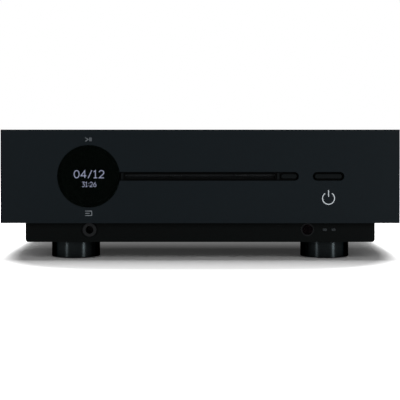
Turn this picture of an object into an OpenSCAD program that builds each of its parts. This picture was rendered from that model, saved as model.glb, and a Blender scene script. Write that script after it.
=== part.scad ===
// Slot-loading disc amplifier: a thick overhanging front panel on a folded steel chassis,
// with its disc transport, power supply and amplifier inside.
// Origin at the middle of the footprint, on the surface it stands on. The front faces -Y.

/* [Case] */
// Width of the front panel
panel_w = 320; // [314:1:340]
// Height of the front panel
panel_h = 75; // [73:1:90]
// Thickness of the front panel
panel_t = 10; // [9:0.5:14]
// Width of the chassis behind the panel
chassis_w = 283; // [278:1:290]
// Depth of the chassis, from its front wall to its rear panel
chassis_d = 288; // [286:1:330]
// Thickness of the folded steel sheet
sheet_t = 1.5; // [1:0.1:2]
// Thickness of the rear panel
rear_t = 2; // [1.5:0.1:3]
// Radius of the tray's lower edges
tray_edge_r = 2.5; // [2:0.1:4]
// How far the panel's lower edge stands above the tray's underside
panel_lift = 16; // [15:0.5:22]
// How far the cover lies under the panel's top edge
cover_drop = 3; // [2:0.5:5]
// Width of one vent slot in the cover
vent_w = 3; // [2:0.5:4]
// Length of one vent slot in the cover
vent_len = 60; // [30:5:80]

/* [Feet] */
// Diameter of a foot
foot_d = 40; // [36:1:46]
// Height of a foot with its pad
foot_h = 14; // [12:0.5:20]
// Distance from the chassis side to the middle of a foot
foot_inset_x = 38; // [30:0.5:45]
// Distance from the front wall or the rear panel to the middle of a foot
foot_inset_y = 27; // [26:0.5:40]
// Diameter of a foot's rubber pad
pad_d = 33; // [26:1:34]
// How far a pad stands below its foot
pad_show = 0.5; // [0.25:0.25:3]

/* [Heatsinks] */
// Thickness of a heatsink's base
sink_base_t = 5; // [4.5:0.5:7]
// Length of a fin
fin_len = 14; // [8:0.5:15]
// Thickness of a fin
fin_t = 2.2; // [1.6:0.1:3]
// Distance from one fin to the next
fin_pitch = 8; // [6:0.5:12]

/* [Display] */
// Diameter of the display window
window_d = 50; // [48:0.5:54]
// Thickness of the display window
window_t = 4; // [3:0.1:4.5]
// Width of the divider between the display window and the disc mouth
divider_w = 4; // [3:0.5:8]
// Width of the lit display behind the window
oled_w = 33; // [24:1:34]
// Height of the lit display behind the window
oled_h = 23; // [16:1:24]

/* [Slot and buttons] */
// Height of the slot channel and of the standby opening
slot_h = 7; // [6.8:0.1:9]
// Width of the disc mouth
mouth_w = 121; // [120.5:0.1:122]
// Height of the disc mouth in its moulding
mouth_h = 5.6; // [5.4:0.1:5.8]
// Thickness of a dust lip's backing
felt_t = 0.7; // [0.3:0.1:0.7]
// Depth of the slot moulding's face behind the panel's face
bezel_recess = 2.5; // [1.5:0.1:4]
// Distance from the disc mouth to the eject button's cap
eject_gap = 4.6; // [4:0.1:7]
// Width of the eject button's cap
eject_w = 12.4; // [10:0.1:13]
// Distance from the slot to the standby opening
standby_gap = 11; // [10:0.5:16]
// Width of the standby opening
standby_open_w = 25.4; // [25:0.1:28]
// Width of the standby button's cap
standby_w = 21.5; // [16:0.1:21.6]
// Height of the button caps
cap_h = 3.4; // [2.6:0.1:3.8]
// Travel of the buttons
button_travel = 0.8; // [0.4:0.1:1.2]

/* [Lower front] */
// Height of the headphone socket and the lights above the tray's underside
low_rise = 10; // [9.5:0.1:10.4]
// Bore of the headphone socket
jack_bore = 6.4; // [6.3:0.05:6.6]
// Depth of the headphone socket's bore
jack_depth = 22; // [18:1:24]
// Diameter of the headphone socket's ring
jack_ring_d = 11; // [10.4:0.1:12]
// Diameter of the infrared window
ir_d = 8; // [6:0.1:9]
// Distance from the infrared window to the middle of the standby button
ir_shift = 15.9; // [14:0.1:20]
// How far the indicator lights lie to the right of the middle of the standby button
led_shift = 1.6; // [0:0.1:3]
// Distance between the indicator lights
led_pitch = 7; // [6:0.1:10]

/* [Rear] */
// Reach of the loudspeaker posts behind the rear panel
post_reach = 20; // [18:0.5:26]
// Diameter of a post's cap
post_cap_d = 15; // [13:0.5:16]
// Diameter of a post's stud
post_stud_d = 6; // [5.5:0.1:6.5]
// Distance between the two posts of a pair
post_pitch = 19; // [18:0.5:22]
// Outer diameter of a phono socket's shell
rca_d = 8.3; // [8.2:0.05:8.6]
// Distance between neighbouring phono sockets
rca_pitch = 16; // [14:0.5:18]
// Tilt of the power rocker to either side
rocker_tilt = 10; // [6:1:12]

/* [Transport] */
// Thickness of a disc
disc_t = 1.2; // [1.1:0.1:1.5]
// Half the width of the transport
deck_half_w = 74; // [72:0.5:76]
// Depth of the transport
deck_d = 173; // [170:1:180]
// Thickness of the transport's sheet
deck_t = 2; // [1.5:0.1:2.5]
// Radius of the loading roller
roller_r = 5; // [4:0.25:6]
// Travel of the pickup sled
sled_travel = 36; // [30:1:37]
// Lift of the traverse
lift = 5; // [4:0.1:5.4]
// Diameter of the guide rods and of the lead screw
rod_d = 3; // [2:0.1:3.4]

/* [Power] */
// Outer diameter of the ring transformer
toroid_d = 76; // [60:1:80]
// Height of the ring transformer
toroid_h = 40; // [30:1:50]
// Diameter of a reservoir capacitor
cap_can_d = 25; // [18:1:27]
// Height of a reservoir capacitor
cap_can_h = 38; // [25:1:38]

/* [Hidden] */
$fn = 64;

// How far a cutting body runs past the face it cuts
cut = 1;
// Clearance between pieces that are seated in each other
fit = 0.15;
// Radial clearance of shafts, pins and screws in their bores
run = 0.08;
// Gap under a piece that rests with room to move
rest_gap = 0.3;
// Gap at the end of a pin or shaft in its bore
end_gap = 0.2;
// Share of a screw head that its drive socket takes
drive_share = 0.45;

// Planes of the case
half_w = chassis_w / 2;
front_y = -(panel_t + chassis_d + post_reach) / 2;
wall_y = front_y + panel_t;
wall_in = wall_y + sheet_t;
rear_y = wall_y + chassis_d;
rear_in = rear_y - rear_t;
floor_z = foot_h + sheet_t;
panel_z = foot_h + panel_lift;
panel_top = panel_z + panel_h;
cover_top = panel_top - cover_drop;
cover_z = cover_top - sheet_t;
slot_z = panel_z + panel_h / 2;
low_z = foot_h + low_rise;
ledge_rise = 2;
ledge_z = panel_z + ledge_rise;
ledge_w = 12;
upper_half_w = half_w - sink_base_t;

// Feet
foot_x = half_w - foot_inset_x;
foot_front_y = wall_y + foot_inset_y;
foot_rear_y = rear_y - foot_inset_y;
pad_seat = 4.5;
pad_t = pad_show + pad_seat;
foot_edge_r = 1;
foot_screw_d = 4;
foot_head_d = 8;
foot_head_h = 3;
foot_nut_d = 8;
foot_nut_h = 3.2;
foot_head_gap = 0.5;
foot_screw_end = 1;

// Case screws
screw_d = 3;
screw_head_d = 5;
screw_head_h = 1.8;
screw_bite = 6;
screw_spare = 2;
screw_end_gap = 0.5;
panel_screw_inset_x = 14;
panel_screw_inset_z = 8;
panel_screw_x = half_w - panel_screw_inset_x;
panel_screw_z = [ledge_z + panel_screw_inset_z, cover_z - panel_screw_inset_z];
cover_screw_inset = 20;
cover_screw_x = half_w - sink_base_t / 2;
cover_screw_y = [wall_y + cover_screw_inset, (wall_y + rear_y) / 2, rear_y - cover_screw_inset];
rear_screw_inset = 13;
rear_screw_z = [ledge_z + rear_screw_inset, cover_z - rear_screw_inset];
bezel_screw_d = 2.5;
bezel_screw_bite = 5;

// Heatsinks, whose fins reach this far into their base
fin_root = 0.5;

// Vents
vent_count = 8;
vent_land = 4;
vent_pitch = vent_w + vent_land;
vent_x = 62;
vent_inset = 30;

// Places of the display and the buttons, counted from the disc mouth
eject_rim = 1.7;
display_x = -(mouth_w / 2 + divider_w + window_d / 2);
eject_x = mouth_w / 2 + eject_gap + eject_w / 2;
slot_x0 = display_x + window_d / 2 + 2 * fit;
slot_x1 = eject_x + eject_w / 2 + eject_rim;
standby_x = slot_x1 + standby_gap + standby_open_w / 2;
standby_x1 = standby_x + standby_open_w / 2;

// Display, stacked from the window to the front wall
window_recess = 0.3;
window_ledge = 3;
window_seat_y = front_y + window_recess + window_t;
oled_t = 1.8;
pcb_t = 1.6;
oled_y = window_seat_y + rest_gap;
display_board_gap = 1;
display_board_d = window_d - 2 * (window_ledge + display_board_gap);
display_board_y = oled_y + oled_t;
display_spacer_d = 4;
display_spacer_turn = 30;
cable_hole_d = 14;

// Slot moulding and buttons
standby_recess = 3;
flange_t = 2;
flange_h = 18;
flange_margin = 6;
flange_inset = 3;
flange_x0 = slot_x0 + fit;
flange_x1 = standby_x1 + flange_margin;
bezel_screw_x = [flange_x0 + flange_margin, (flange_x0 + slot_x1) / 2, slot_x1 + standby_gap / 2];
bezel_screw_z = flange_h / 2 - flange_inset;
felt_depth = 4;
felt_inset = 2;
felt_y = front_y + bezel_recess + felt_inset;
button_fit = 0.2;
button_lip = 1.6;
button_lip_t = 1.2;
button_rest = 0.1;
button_lip_y = wall_y + button_rest;
eject_set = 1.2;
standby_set = 0.6;
stem_d = 3;
key_depth = 8;
key_y = wall_in + key_depth;
key_size = 6.2;
key_t = 3.5;
key_board_gap = 4;
key_board_inset = 1;
key_board_x0 = mouth_w / 2 + key_board_gap;
key_board_x1 = flange_x1 - key_board_inset;
key_board_h = flange_h - key_board_inset;
boss_d = 4;
boss_x = [key_board_x0 + boss_d / 2 + fit, key_board_x1 - boss_d / 2 - fit];
boss_z = flange_h / 2 - flange_inset;

// Lower front board
ir_x = standby_x - ir_shift;
ir_lip = 1;
ir_lip_t = 1.2;
ir_proud = 0.6;
led_x = standby_x + led_shift - led_pitch / 2;
led_proud = 0.3;
board_gap = 1;
front_board_rise = 2;
front_board_margin = 12;
front_board_z = floor_z + front_board_rise;
front_board_top = front_board_z + pcb_t;
front_board_x0 = display_x - front_board_margin;
front_board_x1 = led_x + led_pitch + front_board_margin;
front_board_y0 = wall_in + ir_lip_t + fit;
front_board_y1 = foot_front_y - foot_nut_d / 2 - board_gap;
jack_bush_d = 9;
jack_body_w = 14;
jack_ring_t = 2;
jack_end_t = 4;
led_w = 3.2;
led_h = 2;
led_body = 4.2;
standoff_d = 5;

// Rear connectors
post_x0 = -112;
post_pair_pitch = 54;
post_x = [for (pair = [0, 1], side = [0, 1]) post_x0 + pair * post_pair_pitch + side * post_pitch];
post_rise = 25;
post_z = floor_z + post_rise;
post_base_rim = 0.5;
post_base_d = post_cap_d + 2 * post_base_rim;
post_base_t = 4;
post_neck_wall = 2;
post_neck_d = post_stud_d + 2 * post_neck_wall;
post_inner_t = 3;
post_bush_wall = 1.5;
post_bush_d = post_stud_d + 2 * post_bush_wall;
post_gap = 0.4;
post_end_t = 4;
post_tail = 12;
banana_d = 4;
wire_hole_d = 3;
banana_depth = 8;
banana_lead = 0.3;
flute_count = 12;
flute_d = 2.4;
flute_set = 0.6;
flute_inset = 2;
post_cap_y0 = rear_y + post_base_t + post_gap;
post_cap_y1 = rear_y + post_reach;
post_bush_y1 = post_cap_y1 - post_end_t;
rca_x = [for (i = [0:2]) post_x0 + i * rca_pitch];
rca_drop = 30;
rca_z = [cover_z - rca_drop, cover_z - rca_drop + rca_pitch];
rca_wall = 0.7;
rca_core_d = rca_d - 2 * rca_wall;
rca_core_set = 1;
rca_pin_d = 3.2;
rca_pin_depth = 6;
rca_flange_rim = 1.35;
rca_flange_d = rca_d + 2 * rca_flange_rim;
rca_flange_t = 1.5;
rca_len = 8;
rca_block = 12;
rca_block_depth = 10;
optical_x = -42;
rear_row_z = (rca_z[0] + rca_z[1]) / 2;
optical_w = 15;
optical_h = 13;
optical_hole = 8.8;
optical_depth = 11;
optical_back_t = 3;
optical_proud = 2;
flap_t = 1;
flap_head = 0.6;
flap_pin_d = 1.2;
flap_pin_seat = 1.6;
flap_drop = 1.1;
flap_set = 0.9;
optical_face_y = rear_y + optical_proud;
flap_pin_y = optical_face_y - flap_set;
flap_pin_z = rear_row_z + optical_hole / 2 - flap_drop;
usb_x = -14;
usb_w = 12;
usb_h = 11;
usb_wall = 0.9;
usb_depth = 15;
usb_back_t = 4;
usb_proud = 0.8;
usb_tongue_w = 5.6;
usb_tongue_h = 3.2;
usb_tongue_set = 1.5;
inlet_x = 105;
inlet_z = slot_z;
inlet_w = 27;
inlet_h = 48;
inlet_lip = 2.5;
inlet_lip_t = 2;
inlet_depth = 24;
c14_w = 24;
c14_h = 16.5;
c14_depth = 17;
c14_margin = 3;
c14_z = inlet_z - inlet_h / 2 + c14_h / 2 + c14_margin;
blade_w = 2;
blade_h = 4;
blade_x = 7;
blade_set = 3;
rocker_inset = 13;
rocker_z = inlet_z + inlet_h / 2 - rocker_inset;
rocker_open_h = 20;
rocker_w = 12.4;
rocker_len = 17;
rocker_pin_d = 3;
rocker_pin_inset = 3;
rocker_sink = 3;
rocker_pivot_y = rear_y - rocker_sink;
rocker_depth = 14;
rocker_crest = 3.2;
rocker_dip = 2.2;
rocker_belly = 6;
rocker_shoulder = 4;
rocker_taper = 2;

// Transport
deck_gap = 19.5;
deck_y0 = wall_in + deck_gap;
deck_y1 = deck_y0 + deck_d;
deck_drop = 15.5;
deck_top = slot_z - deck_drop;
deck_under = deck_top - deck_t;
top_plate_rise = 8.5;
top_plate_z = slot_z + top_plate_rise;
top_plate_t = 1.5;
leg_d = 10;
leg_inset = 8;
roller_inset = 12;
roller_y = deck_y0 + roller_inset;
roller_z = slot_z - disc_t / 2 - roller_r;
roller_shaft_d = 3;
roller_gap = 3;
roller_half = deck_half_w - deck_t - roller_gap;
roller_waist = 0.5;
roller_shaft_end = 1;
pulley_gap = 2;
pulley_x = deck_half_w + pulley_gap;
pulley_w = 4;
pulley_rim = 0.7;
pulley_r = 6.5;
groove_r = 5;
belt_w = 2;
belt_t = 1;
belt_r = groove_r + rest_gap;
belt_drop = 24;
motor_z = roller_z - belt_drop;
motor_d = 20;
motor_len = 25;
motor_shaft_d = 2;
motor_seat = 12;
motor_shaft_room = 2;
bracket_len = 24;
bracket_margin = 1;
spindle_inset = 80;
spindle_y = deck_y0 + spindle_inset;
traverse_z = deck_top + rest_gap;
traverse_t = 2;
traverse_top = traverse_z + traverse_t;
traverse_half_w = 48;
traverse_front = 26;
traverse_y0 = spindle_y - traverse_front;
lug_t = 3;
lug_gap = 14;
lug_margin = 4;
lug_cover = 3;
lug_y0 = spindle_y + lug_gap;
sled_stop = 0.5;
sled_y0 = lug_y0 + lug_t + sled_stop;
sled_len = 22.5;
sled_margin = 4;
lug_y1 = sled_y0 + sled_len + sled_travel + sled_stop;
traverse_back = 4;
traverse_y1 = lug_y1 + lug_t + traverse_back;
lens_inset = 5.5;
lens_y = sled_y0 + lens_inset;
lens_d = 5;
lens_h = 0.9;
rod_x = 16;
screw_x = 26;
rod_rise = 3.5;
rod_z = traverse_top + rod_rise;
sled_gap = 0.7;
sled_z = traverse_top + sled_gap;
sled_cover = 2.5;
sled_top = rod_z + sled_cover;
screw_seat = 6;
sled_motor_h = 7;
sled_motor_d = 10;
sled_motor_len = 12;
guide_d = 4;
guide_inset_x = 5;
guide_inset_y = 6;
guide_x = traverse_half_w - guide_inset_x;
guide_y = [traverse_y0 + guide_inset_y, traverse_y1 - guide_inset_y];
guide_spare = 3;
guide_len = traverse_t + lift + guide_spare;
platter_z = slot_z - disc_t / 2 - lift;
platter_t = 1.3;
platter_d = 28;
hub_d = 14.8;
hub_h = 2;
hub_taper = 1;
hub_taper_h = 0.8;
spindle_motor_d = 26;
spindle_shaft_d = 2;
spindle_floor = 1;
puck_d = 24;
puck_flange_d = 30;
puck_flange_t = 1.5;
puck_lift = 2.7;
puck_z = platter_z + lift + hub_h + puck_lift;

// Power and audio
toroid_x = 42;
toroid_gap = 7;
toroid_y = rear_in - toroid_gap - toroid_d / 2;
toroid_hole_d = 26;
toroid_edge_r = 8;
clamp_d = 58;
clamp_t = 2;
clamp_bolt_d = 6;
clamp_nut_h = 4;
main_board_rise = 6;
main_board_inset = 8;
main_board_z = floor_z + main_board_rise;
main_board_top = main_board_z + pcb_t;
main_board_x0 = -upper_half_w + main_board_inset;
main_board_x1 = -main_board_inset;
main_board_y0 = deck_y1 + main_board_inset;
main_board_y1 = rear_in - main_board_inset;
can_gap = 3;
can_pitch = cap_can_d + can_gap;
device_t = 5;
device_w = 16;
device_h = 20;
device_rise = 14;
device_z = ledge_z + device_rise;
device_inset = 45;
device_pitch = 30;
device_y = [rear_in - device_inset - device_pitch, rear_in - device_inset];

// A bar with its length along Y, between two planes
module along_y(y0, y1) {
  translate([0, y1, 0])
    rotate([90, 0, 0])
      linear_extrude(y1 - y0)
        children();
}

// A round bar along Y, between two planes
module rod_y(d, y0, y1) {
  translate([0, y0, 0])
    rotate([-90, 0, 0])
      cylinder(d = d, h = y1 - y0);
}

// A round bar along X, between two planes
module rod_x_axis(d, x0, x1) {
  translate([x0, 0, 0])
    rotate([0, 90, 0])
      cylinder(d = d, h = x1 - x0);
}

// A box given by its lowest and highest corners
module block(low, high) {
  translate(low)
    cube(high - low);
}

// A flat outline with two round ends, w long in all
module pill(w, h) {
  square([w - h, h], center = true);
  for (side = [-1, 1])
    translate([side * (w - h) / 2, 0])
      circle(d = h);
}

// The slot's outline: square at the display, round at its far end
module slot_outline(x0, x1, h) {
  translate([x0, slot_z - h / 2])
    square([x1 - h / 2 - x0, h]);
  translate([x1 - h / 2, slot_z])
    circle(d = h);
}

// The tray's outer or inner outline, seen from the front
module tray_outline(inset, top) {
  r = tray_edge_r - inset;
  x = half_w - inset;
  z = foot_h + inset;
  translate([-x, z + r])
    square([2 * x, top - z - r]);
  translate([-x + r, z])
    square([2 * (x - r), 2 * r]);
  for (side = [-1, 1])
    translate([side * (x - r), z + r])
      circle(r = r);
}

module at_feet() {
  for (sx = [-1, 1], y = [foot_front_y, foot_rear_y])
    translate([sx * foot_x, y, 0])
      children();
}

module at_panel_screws() {
  for (sx = [-1, 1], z = panel_screw_z)
    translate([sx * panel_screw_x, 0, z])
      children();
}

module at_cover_screws() {
  for (sx = [-1, 1], y = cover_screw_y)
    translate([sx * cover_screw_x, y, 0])
      children();
}

module at_rear_screws() {
  for (sx = [-1, 1], z = rear_screw_z)
    translate([sx * cover_screw_x, 0, z])
      children();
}

module at_bezel_screws() {
  for (x = bezel_screw_x, sz = [-1, 1])
    translate([x, 0, slot_z + sz * bezel_screw_z])
      children();
}

module front_panel() {
  color("#191d20")
    difference() {
      block([-panel_w / 2, front_y, panel_z], [panel_w / 2, wall_y, panel_top]);
      translate([display_x, 0, slot_z]) {
        rod_y(window_d + 2 * fit, front_y - cut, window_seat_y);
        rod_y(window_d - 2 * window_ledge, front_y - cut, wall_y + cut);
      }
      along_y(front_y - cut, wall_y + cut)
        slot_outline(slot_x0 - 2 * fit, slot_x1, slot_h);
      along_y(front_y - cut, wall_y + cut)
        translate([standby_x, slot_z])
          pill(standby_open_w, slot_h);
      at_panel_screws()
        rod_y(screw_d + 2 * run, wall_y - screw_bite, wall_y + cut);
      at_bezel_screws()
        rod_y(bezel_screw_d + 2 * run, wall_y - bezel_screw_bite, wall_y + cut);
    }
}

module front_wall_cuts() {
  translate([display_x, 0, slot_z])
    rod_y(cable_hole_d, wall_y - cut, wall_in + cut);
  block([flange_x0 - 2 * fit, wall_y - cut, slot_z - flange_h / 2 - 2 * fit],
        [flange_x1 + 2 * fit, wall_in + cut, slot_z + flange_h / 2 + 2 * fit]);
  translate([display_x, 0, low_z])
    rod_y(jack_bush_d + 2 * run, wall_y - cut, wall_in + cut);
  translate([ir_x, 0, low_z])
    rod_y(ir_d + 2 * run, wall_y - cut, wall_in + cut);
  for (i = [0, 1])
    translate([led_x + i * led_pitch, 0, low_z])
      block([-led_w / 2 - fit, wall_y - cut, -led_h / 2 - fit],
            [led_w / 2 + fit, wall_in + cut, led_h / 2 + fit]);
  at_panel_screws()
    rod_y(screw_d + 2 * run, wall_y - cut, wall_in + cut);
}

module board_standoffs() {
  inset = standoff_d / 2 + board_gap;
  for (x = [front_board_x0 + inset, 0, front_board_x1 - inset])
    translate([x, front_board_y1 - inset, floor_z])
      cylinder(d = standoff_d, h = front_board_z - floor_z);
  for (x = [main_board_x0 + inset, main_board_x1 - inset], y = [main_board_y0 + inset, main_board_y1 - inset])
    translate([x, y, floor_z])
      cylinder(d = standoff_d, h = main_board_z - floor_z);
}

module base_tray() {
  color("#0f1112") {
    difference() {
      union() {
        difference() {
          along_y(wall_y, rear_y)
            tray_outline(0, ledge_z);
          along_y(wall_in, rear_y + cut)
            tray_outline(sheet_t, ledge_z + cut);
        }
        for (sx = [-1, 1])
          block([sx > 0 ? half_w - ledge_w : -half_w, wall_in - sheet_t / 2, ledge_z - sheet_t],
                [sx > 0 ? half_w : -half_w + ledge_w, rear_in, ledge_z]);
        block([-upper_half_w, wall_y, ledge_z - sheet_t], [upper_half_w, wall_in, cover_z]);
      }
      front_wall_cuts();
      at_feet()
        translate([0, 0, foot_h - cut])
          cylinder(d = foot_screw_d + 2 * run, h = sheet_t + 2 * cut);
    }
    board_standoffs();
  }
}

module top_cover() {
  color("#16191b")
    difference() {
      block([-half_w, wall_y, cover_z], [half_w, rear_y, cover_top]);
      at_cover_screws()
        translate([0, 0, cover_z - cut])
          cylinder(d = screw_d + 2 * run, h = sheet_t + 2 * cut);
      for (sx = [-1, 1], i = [0:vent_count - 1])
        translate([sx * (vent_x + i * vent_pitch), rear_y - vent_inset - vent_len / 2, cover_z - cut])
          linear_extrude(sheet_t + 2 * cut)
            rotate(90)
              pill(vent_len, vent_w);
    }
}

module heatsink(side) {
  depth = rear_in - wall_y;
  count = floor((depth - fin_t) / fin_pitch);
  first = wall_y + (depth - count * fin_pitch) / 2;
  mirror([side > 0 ? 0 : 1, 0, 0])
    difference() {
      translate([0, 0, ledge_z])
        linear_extrude(cover_z - ledge_z) {
          translate([upper_half_w, wall_y])
            square([sink_base_t, depth]);
          for (i = [0:count]) {
            translate([half_w - fin_root, first + i * fin_pitch - fin_t / 2])
              square([fin_len + fin_root - fin_t / 2, fin_t]);
            translate([half_w + fin_len - fin_t / 2, first + i * fin_pitch])
              circle(d = fin_t);
          }
        }
      for (y = cover_screw_y)
        translate([cover_screw_x, y, cover_z - screw_bite - screw_spare])
          cylinder(d = screw_d + 2 * run, h = screw_bite + screw_spare + cut);
      for (z = rear_screw_z)
        translate([cover_screw_x, 0, z])
          rod_y(screw_d + 2 * run, rear_in - screw_bite - screw_spare, rear_in + cut);
    }
}

module left_heatsink() {
  color("#17191b")
    heatsink(-1);
}

module right_heatsink() {
  color("#17191b")
    heatsink(1);
}

module foot(sx, y) {
  color("#0b0c0d")
    translate([sx * foot_x, y, 0])
      difference() {
        rotate_extrude() {
          translate([0, pad_show])
            square([foot_d / 2 - foot_edge_r, foot_h - pad_show]);
          translate([0, pad_show + foot_edge_r])
            square([foot_d / 2, foot_h - pad_show - foot_edge_r]);
          translate([foot_d / 2 - foot_edge_r, pad_show + foot_edge_r])
            intersection() {
              circle(r = foot_edge_r);
              translate([0, -foot_edge_r])
                square(2 * foot_edge_r);
            }
        }
        translate([0, 0, -cut])
          cylinder(d = pad_d + 2 * fit, h = pad_t + cut);
        cylinder(d = foot_head_d + 2 * foot_head_gap, h = pad_t + foot_head_h);
        cylinder(d = foot_screw_d + 2 * run, h = foot_h + cut);
      }
}

module foot_front_left() { foot(-1, foot_front_y); }
module foot_front_right() { foot(1, foot_front_y); }
module foot_rear_left() { foot(-1, foot_rear_y); }
module foot_rear_right() { foot(1, foot_rear_y); }

module foot_pads() {
  color("#141414")
    at_feet()
      difference() {
        cylinder(d = pad_d, h = pad_t);
        translate([0, 0, -cut])
          cylinder(d = foot_head_d + 2 * foot_head_gap, h = pad_t + 2 * cut);
      }
}

module foot_screw() {
  seat = pad_t + foot_head_h;
  translate([0, 0, pad_t])
    cylinder(d = foot_head_d, h = foot_head_h);
  translate([0, 0, seat])
    cylinder(d = foot_screw_d, h = floor_z + foot_nut_h + foot_screw_end - seat);
  translate([0, 0, floor_z])
    cylinder(d = foot_nut_d, h = foot_nut_h, $fn = 6);
}

// A pan-head screw along +Z, its head's seat at the origin
module pan_screw(d, head_d, head_h, shank) {
  translate([0, 0, -shank])
    cylinder(d = d, h = shank);
  difference() {
    cylinder(d = head_d, h = head_h);
    translate([0, 0, head_h / 2])
      cylinder(d = head_d * drive_share, h = head_h, $fn = 6);
  }
}

module screws() {
  color("#101010") {
    at_feet()
      foot_screw();
    at_panel_screws()
      translate([0, wall_in, 0])
        rotate([-90, 0, 0])
          pan_screw(screw_d, screw_head_d, screw_head_h, sheet_t + screw_bite - screw_end_gap);
    at_cover_screws()
      translate([0, 0, cover_top])
        pan_screw(screw_d, screw_head_d, screw_head_h, sheet_t + screw_bite);
    at_rear_screws()
      translate([0, rear_y, 0])
        rotate([-90, 0, 0])
          pan_screw(screw_d, screw_head_d, screw_head_h, rear_t + screw_bite);
    at_bezel_screws()
      translate([0, wall_y + flange_t, 0])
        rotate([-90, 0, 0])
          pan_screw(bezel_screw_d, 2 * bezel_screw_d, bezel_screw_d / 2,
                    flange_t + bezel_screw_bite - screw_end_gap);
  }
}

module display_window() {
  color("#050606")
    translate([display_x, 0, slot_z])
      rod_y(window_d, front_y + window_recess, window_seat_y);
}

module display_module() {
  color("#0a1014")
    translate([display_x, 0, slot_z]) {
      block([-oled_w / 2, oled_y, -oled_h / 2], [oled_w / 2, display_board_y, oled_h / 2]);
      rod_y(display_board_d, display_board_y, display_board_y + pcb_t);
      for (i = [0:2])
        rotate([0, display_spacer_turn + i * 120, 0])
          translate([display_board_d / 2 - display_spacer_d, 0, 0])
            rod_y(display_spacer_d, display_board_y + pcb_t, wall_y);
    }
}

module slot_bezel() {
  color("#0b0c0d") {
    difference() {
      union() {
        along_y(front_y + bezel_recess, wall_y + flange_t)
          slot_outline(slot_x0 + fit, slot_x1 - fit, slot_h - 2 * fit);
        along_y(front_y + standby_recess, wall_y + flange_t)
          translate([standby_x, slot_z])
            pill(standby_open_w - 2 * fit, slot_h - 2 * fit);
        block([flange_x0, wall_y, slot_z - flange_h / 2],
              [flange_x1, wall_y + flange_t, slot_z + flange_h / 2]);
      }
      block([-mouth_w / 2, front_y - cut, slot_z - mouth_h / 2],
            [mouth_w / 2, wall_y + flange_t + cut, slot_z + mouth_h / 2]);
      for (b = [[eject_x, eject_w], [standby_x, standby_w]]) {
        along_y(front_y - cut, wall_y + flange_t + cut)
          translate([b[0], slot_z])
            pill(b[1] + 2 * button_fit, cap_h + 2 * button_fit);
        along_y(wall_y, wall_y + flange_t + cut)
          translate([b[0], slot_z])
            pill(b[1] + 2 * (button_lip + button_fit), cap_h + 2 * (button_lip + button_fit));
      }
      at_bezel_screws()
        rod_y(bezel_screw_d + 2 * run, wall_y - cut, wall_y + flange_t + cut);
    }
    for (x = boss_x, sz = [-1, 1])
      translate([x, 0, slot_z + sz * boss_z])
        rod_y(boss_d, wall_y + flange_t, key_y);
  }
}

module mouth_felts() {
  color("#1a1b1c")
    for (sz = [-1, 1])
      block([-mouth_w / 2, felt_y, slot_z + (sz > 0 ? mouth_h / 2 - felt_t : -mouth_h / 2)],
            [mouth_w / 2, felt_y + felt_depth, slot_z + (sz > 0 ? mouth_h / 2 : felt_t - mouth_h / 2)]);
}

module button(x, w, set_back) {
  translate([x, 0, slot_z]) {
    along_y(front_y + set_back, button_lip_y + button_lip_t)
      pill(w, cap_h);
    along_y(button_lip_y, button_lip_y + button_lip_t)
      pill(w + 2 * button_lip, cap_h + 2 * button_lip);
    rod_y(stem_d, button_lip_y, key_y - key_t - button_travel - button_rest);
  }
}

module eject_button() {
  color("#15181a")
    button(eject_x, eject_w, eject_set);
}

module standby_button() {
  color("#15181a")
    button(standby_x, standby_w, standby_set);
}

module key_board() {
  color("#123322") {
    block([key_board_x0, key_y, slot_z - key_board_h / 2],
          [key_board_x1, key_y + pcb_t, slot_z + key_board_h / 2]);
    for (x = [eject_x, standby_x])
      translate([x, 0, slot_z])
        block([-key_size / 2, key_y - key_t, -key_size / 2], [key_size / 2, key_y, key_size / 2]);
  }
}

module front_board() {
  color("#123322") {
    block([front_board_x0, front_board_y0, front_board_z], [front_board_x1, front_board_y1, front_board_top]);
    translate([ir_x, wall_in + ir_lip_t + fit, 0])
      block([-ir_d / 2, 0, front_board_top], [ir_d / 2, ir_d / 2, low_z + ir_d / 2]);
  }
}

module headphone_jack() {
  body_h = 2 * (low_z - front_board_top);
  color("#2a2c2e")
    translate([display_x, 0, low_z])
      difference() {
        union() {
          rod_y(jack_ring_d, wall_y - jack_ring_t, wall_y);
          rod_y(jack_bush_d, wall_y - jack_ring_t, wall_in);
          block([-jack_body_w / 2, wall_in, -body_h / 2],
                [jack_body_w / 2, wall_y + jack_depth + jack_end_t, body_h / 2]);
        }
        rod_y(jack_bore, wall_y - jack_ring_t - cut, wall_y - jack_ring_t + jack_depth);
      }
}

module ir_window() {
  color("#120608")
    translate([ir_x, 0, low_z]) {
      rod_y(ir_d, wall_y - ir_proud, wall_in);
      rod_y(ir_d + 2 * ir_lip, wall_in, wall_in + ir_lip_t);
    }
}

module status_lights() {
  color("#8d9296")
    for (i = [0, 1])
      translate([led_x + i * led_pitch, 0, 0]) {
        block([-led_w / 2, wall_y - led_proud, low_z - led_h / 2], [led_w / 2, wall_in, low_z + led_h / 2]);
        block([-led_body / 2, wall_in, front_board_top],
              [led_body / 2, wall_in + led_body, low_z + led_body / 2]);
      }
}

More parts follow.
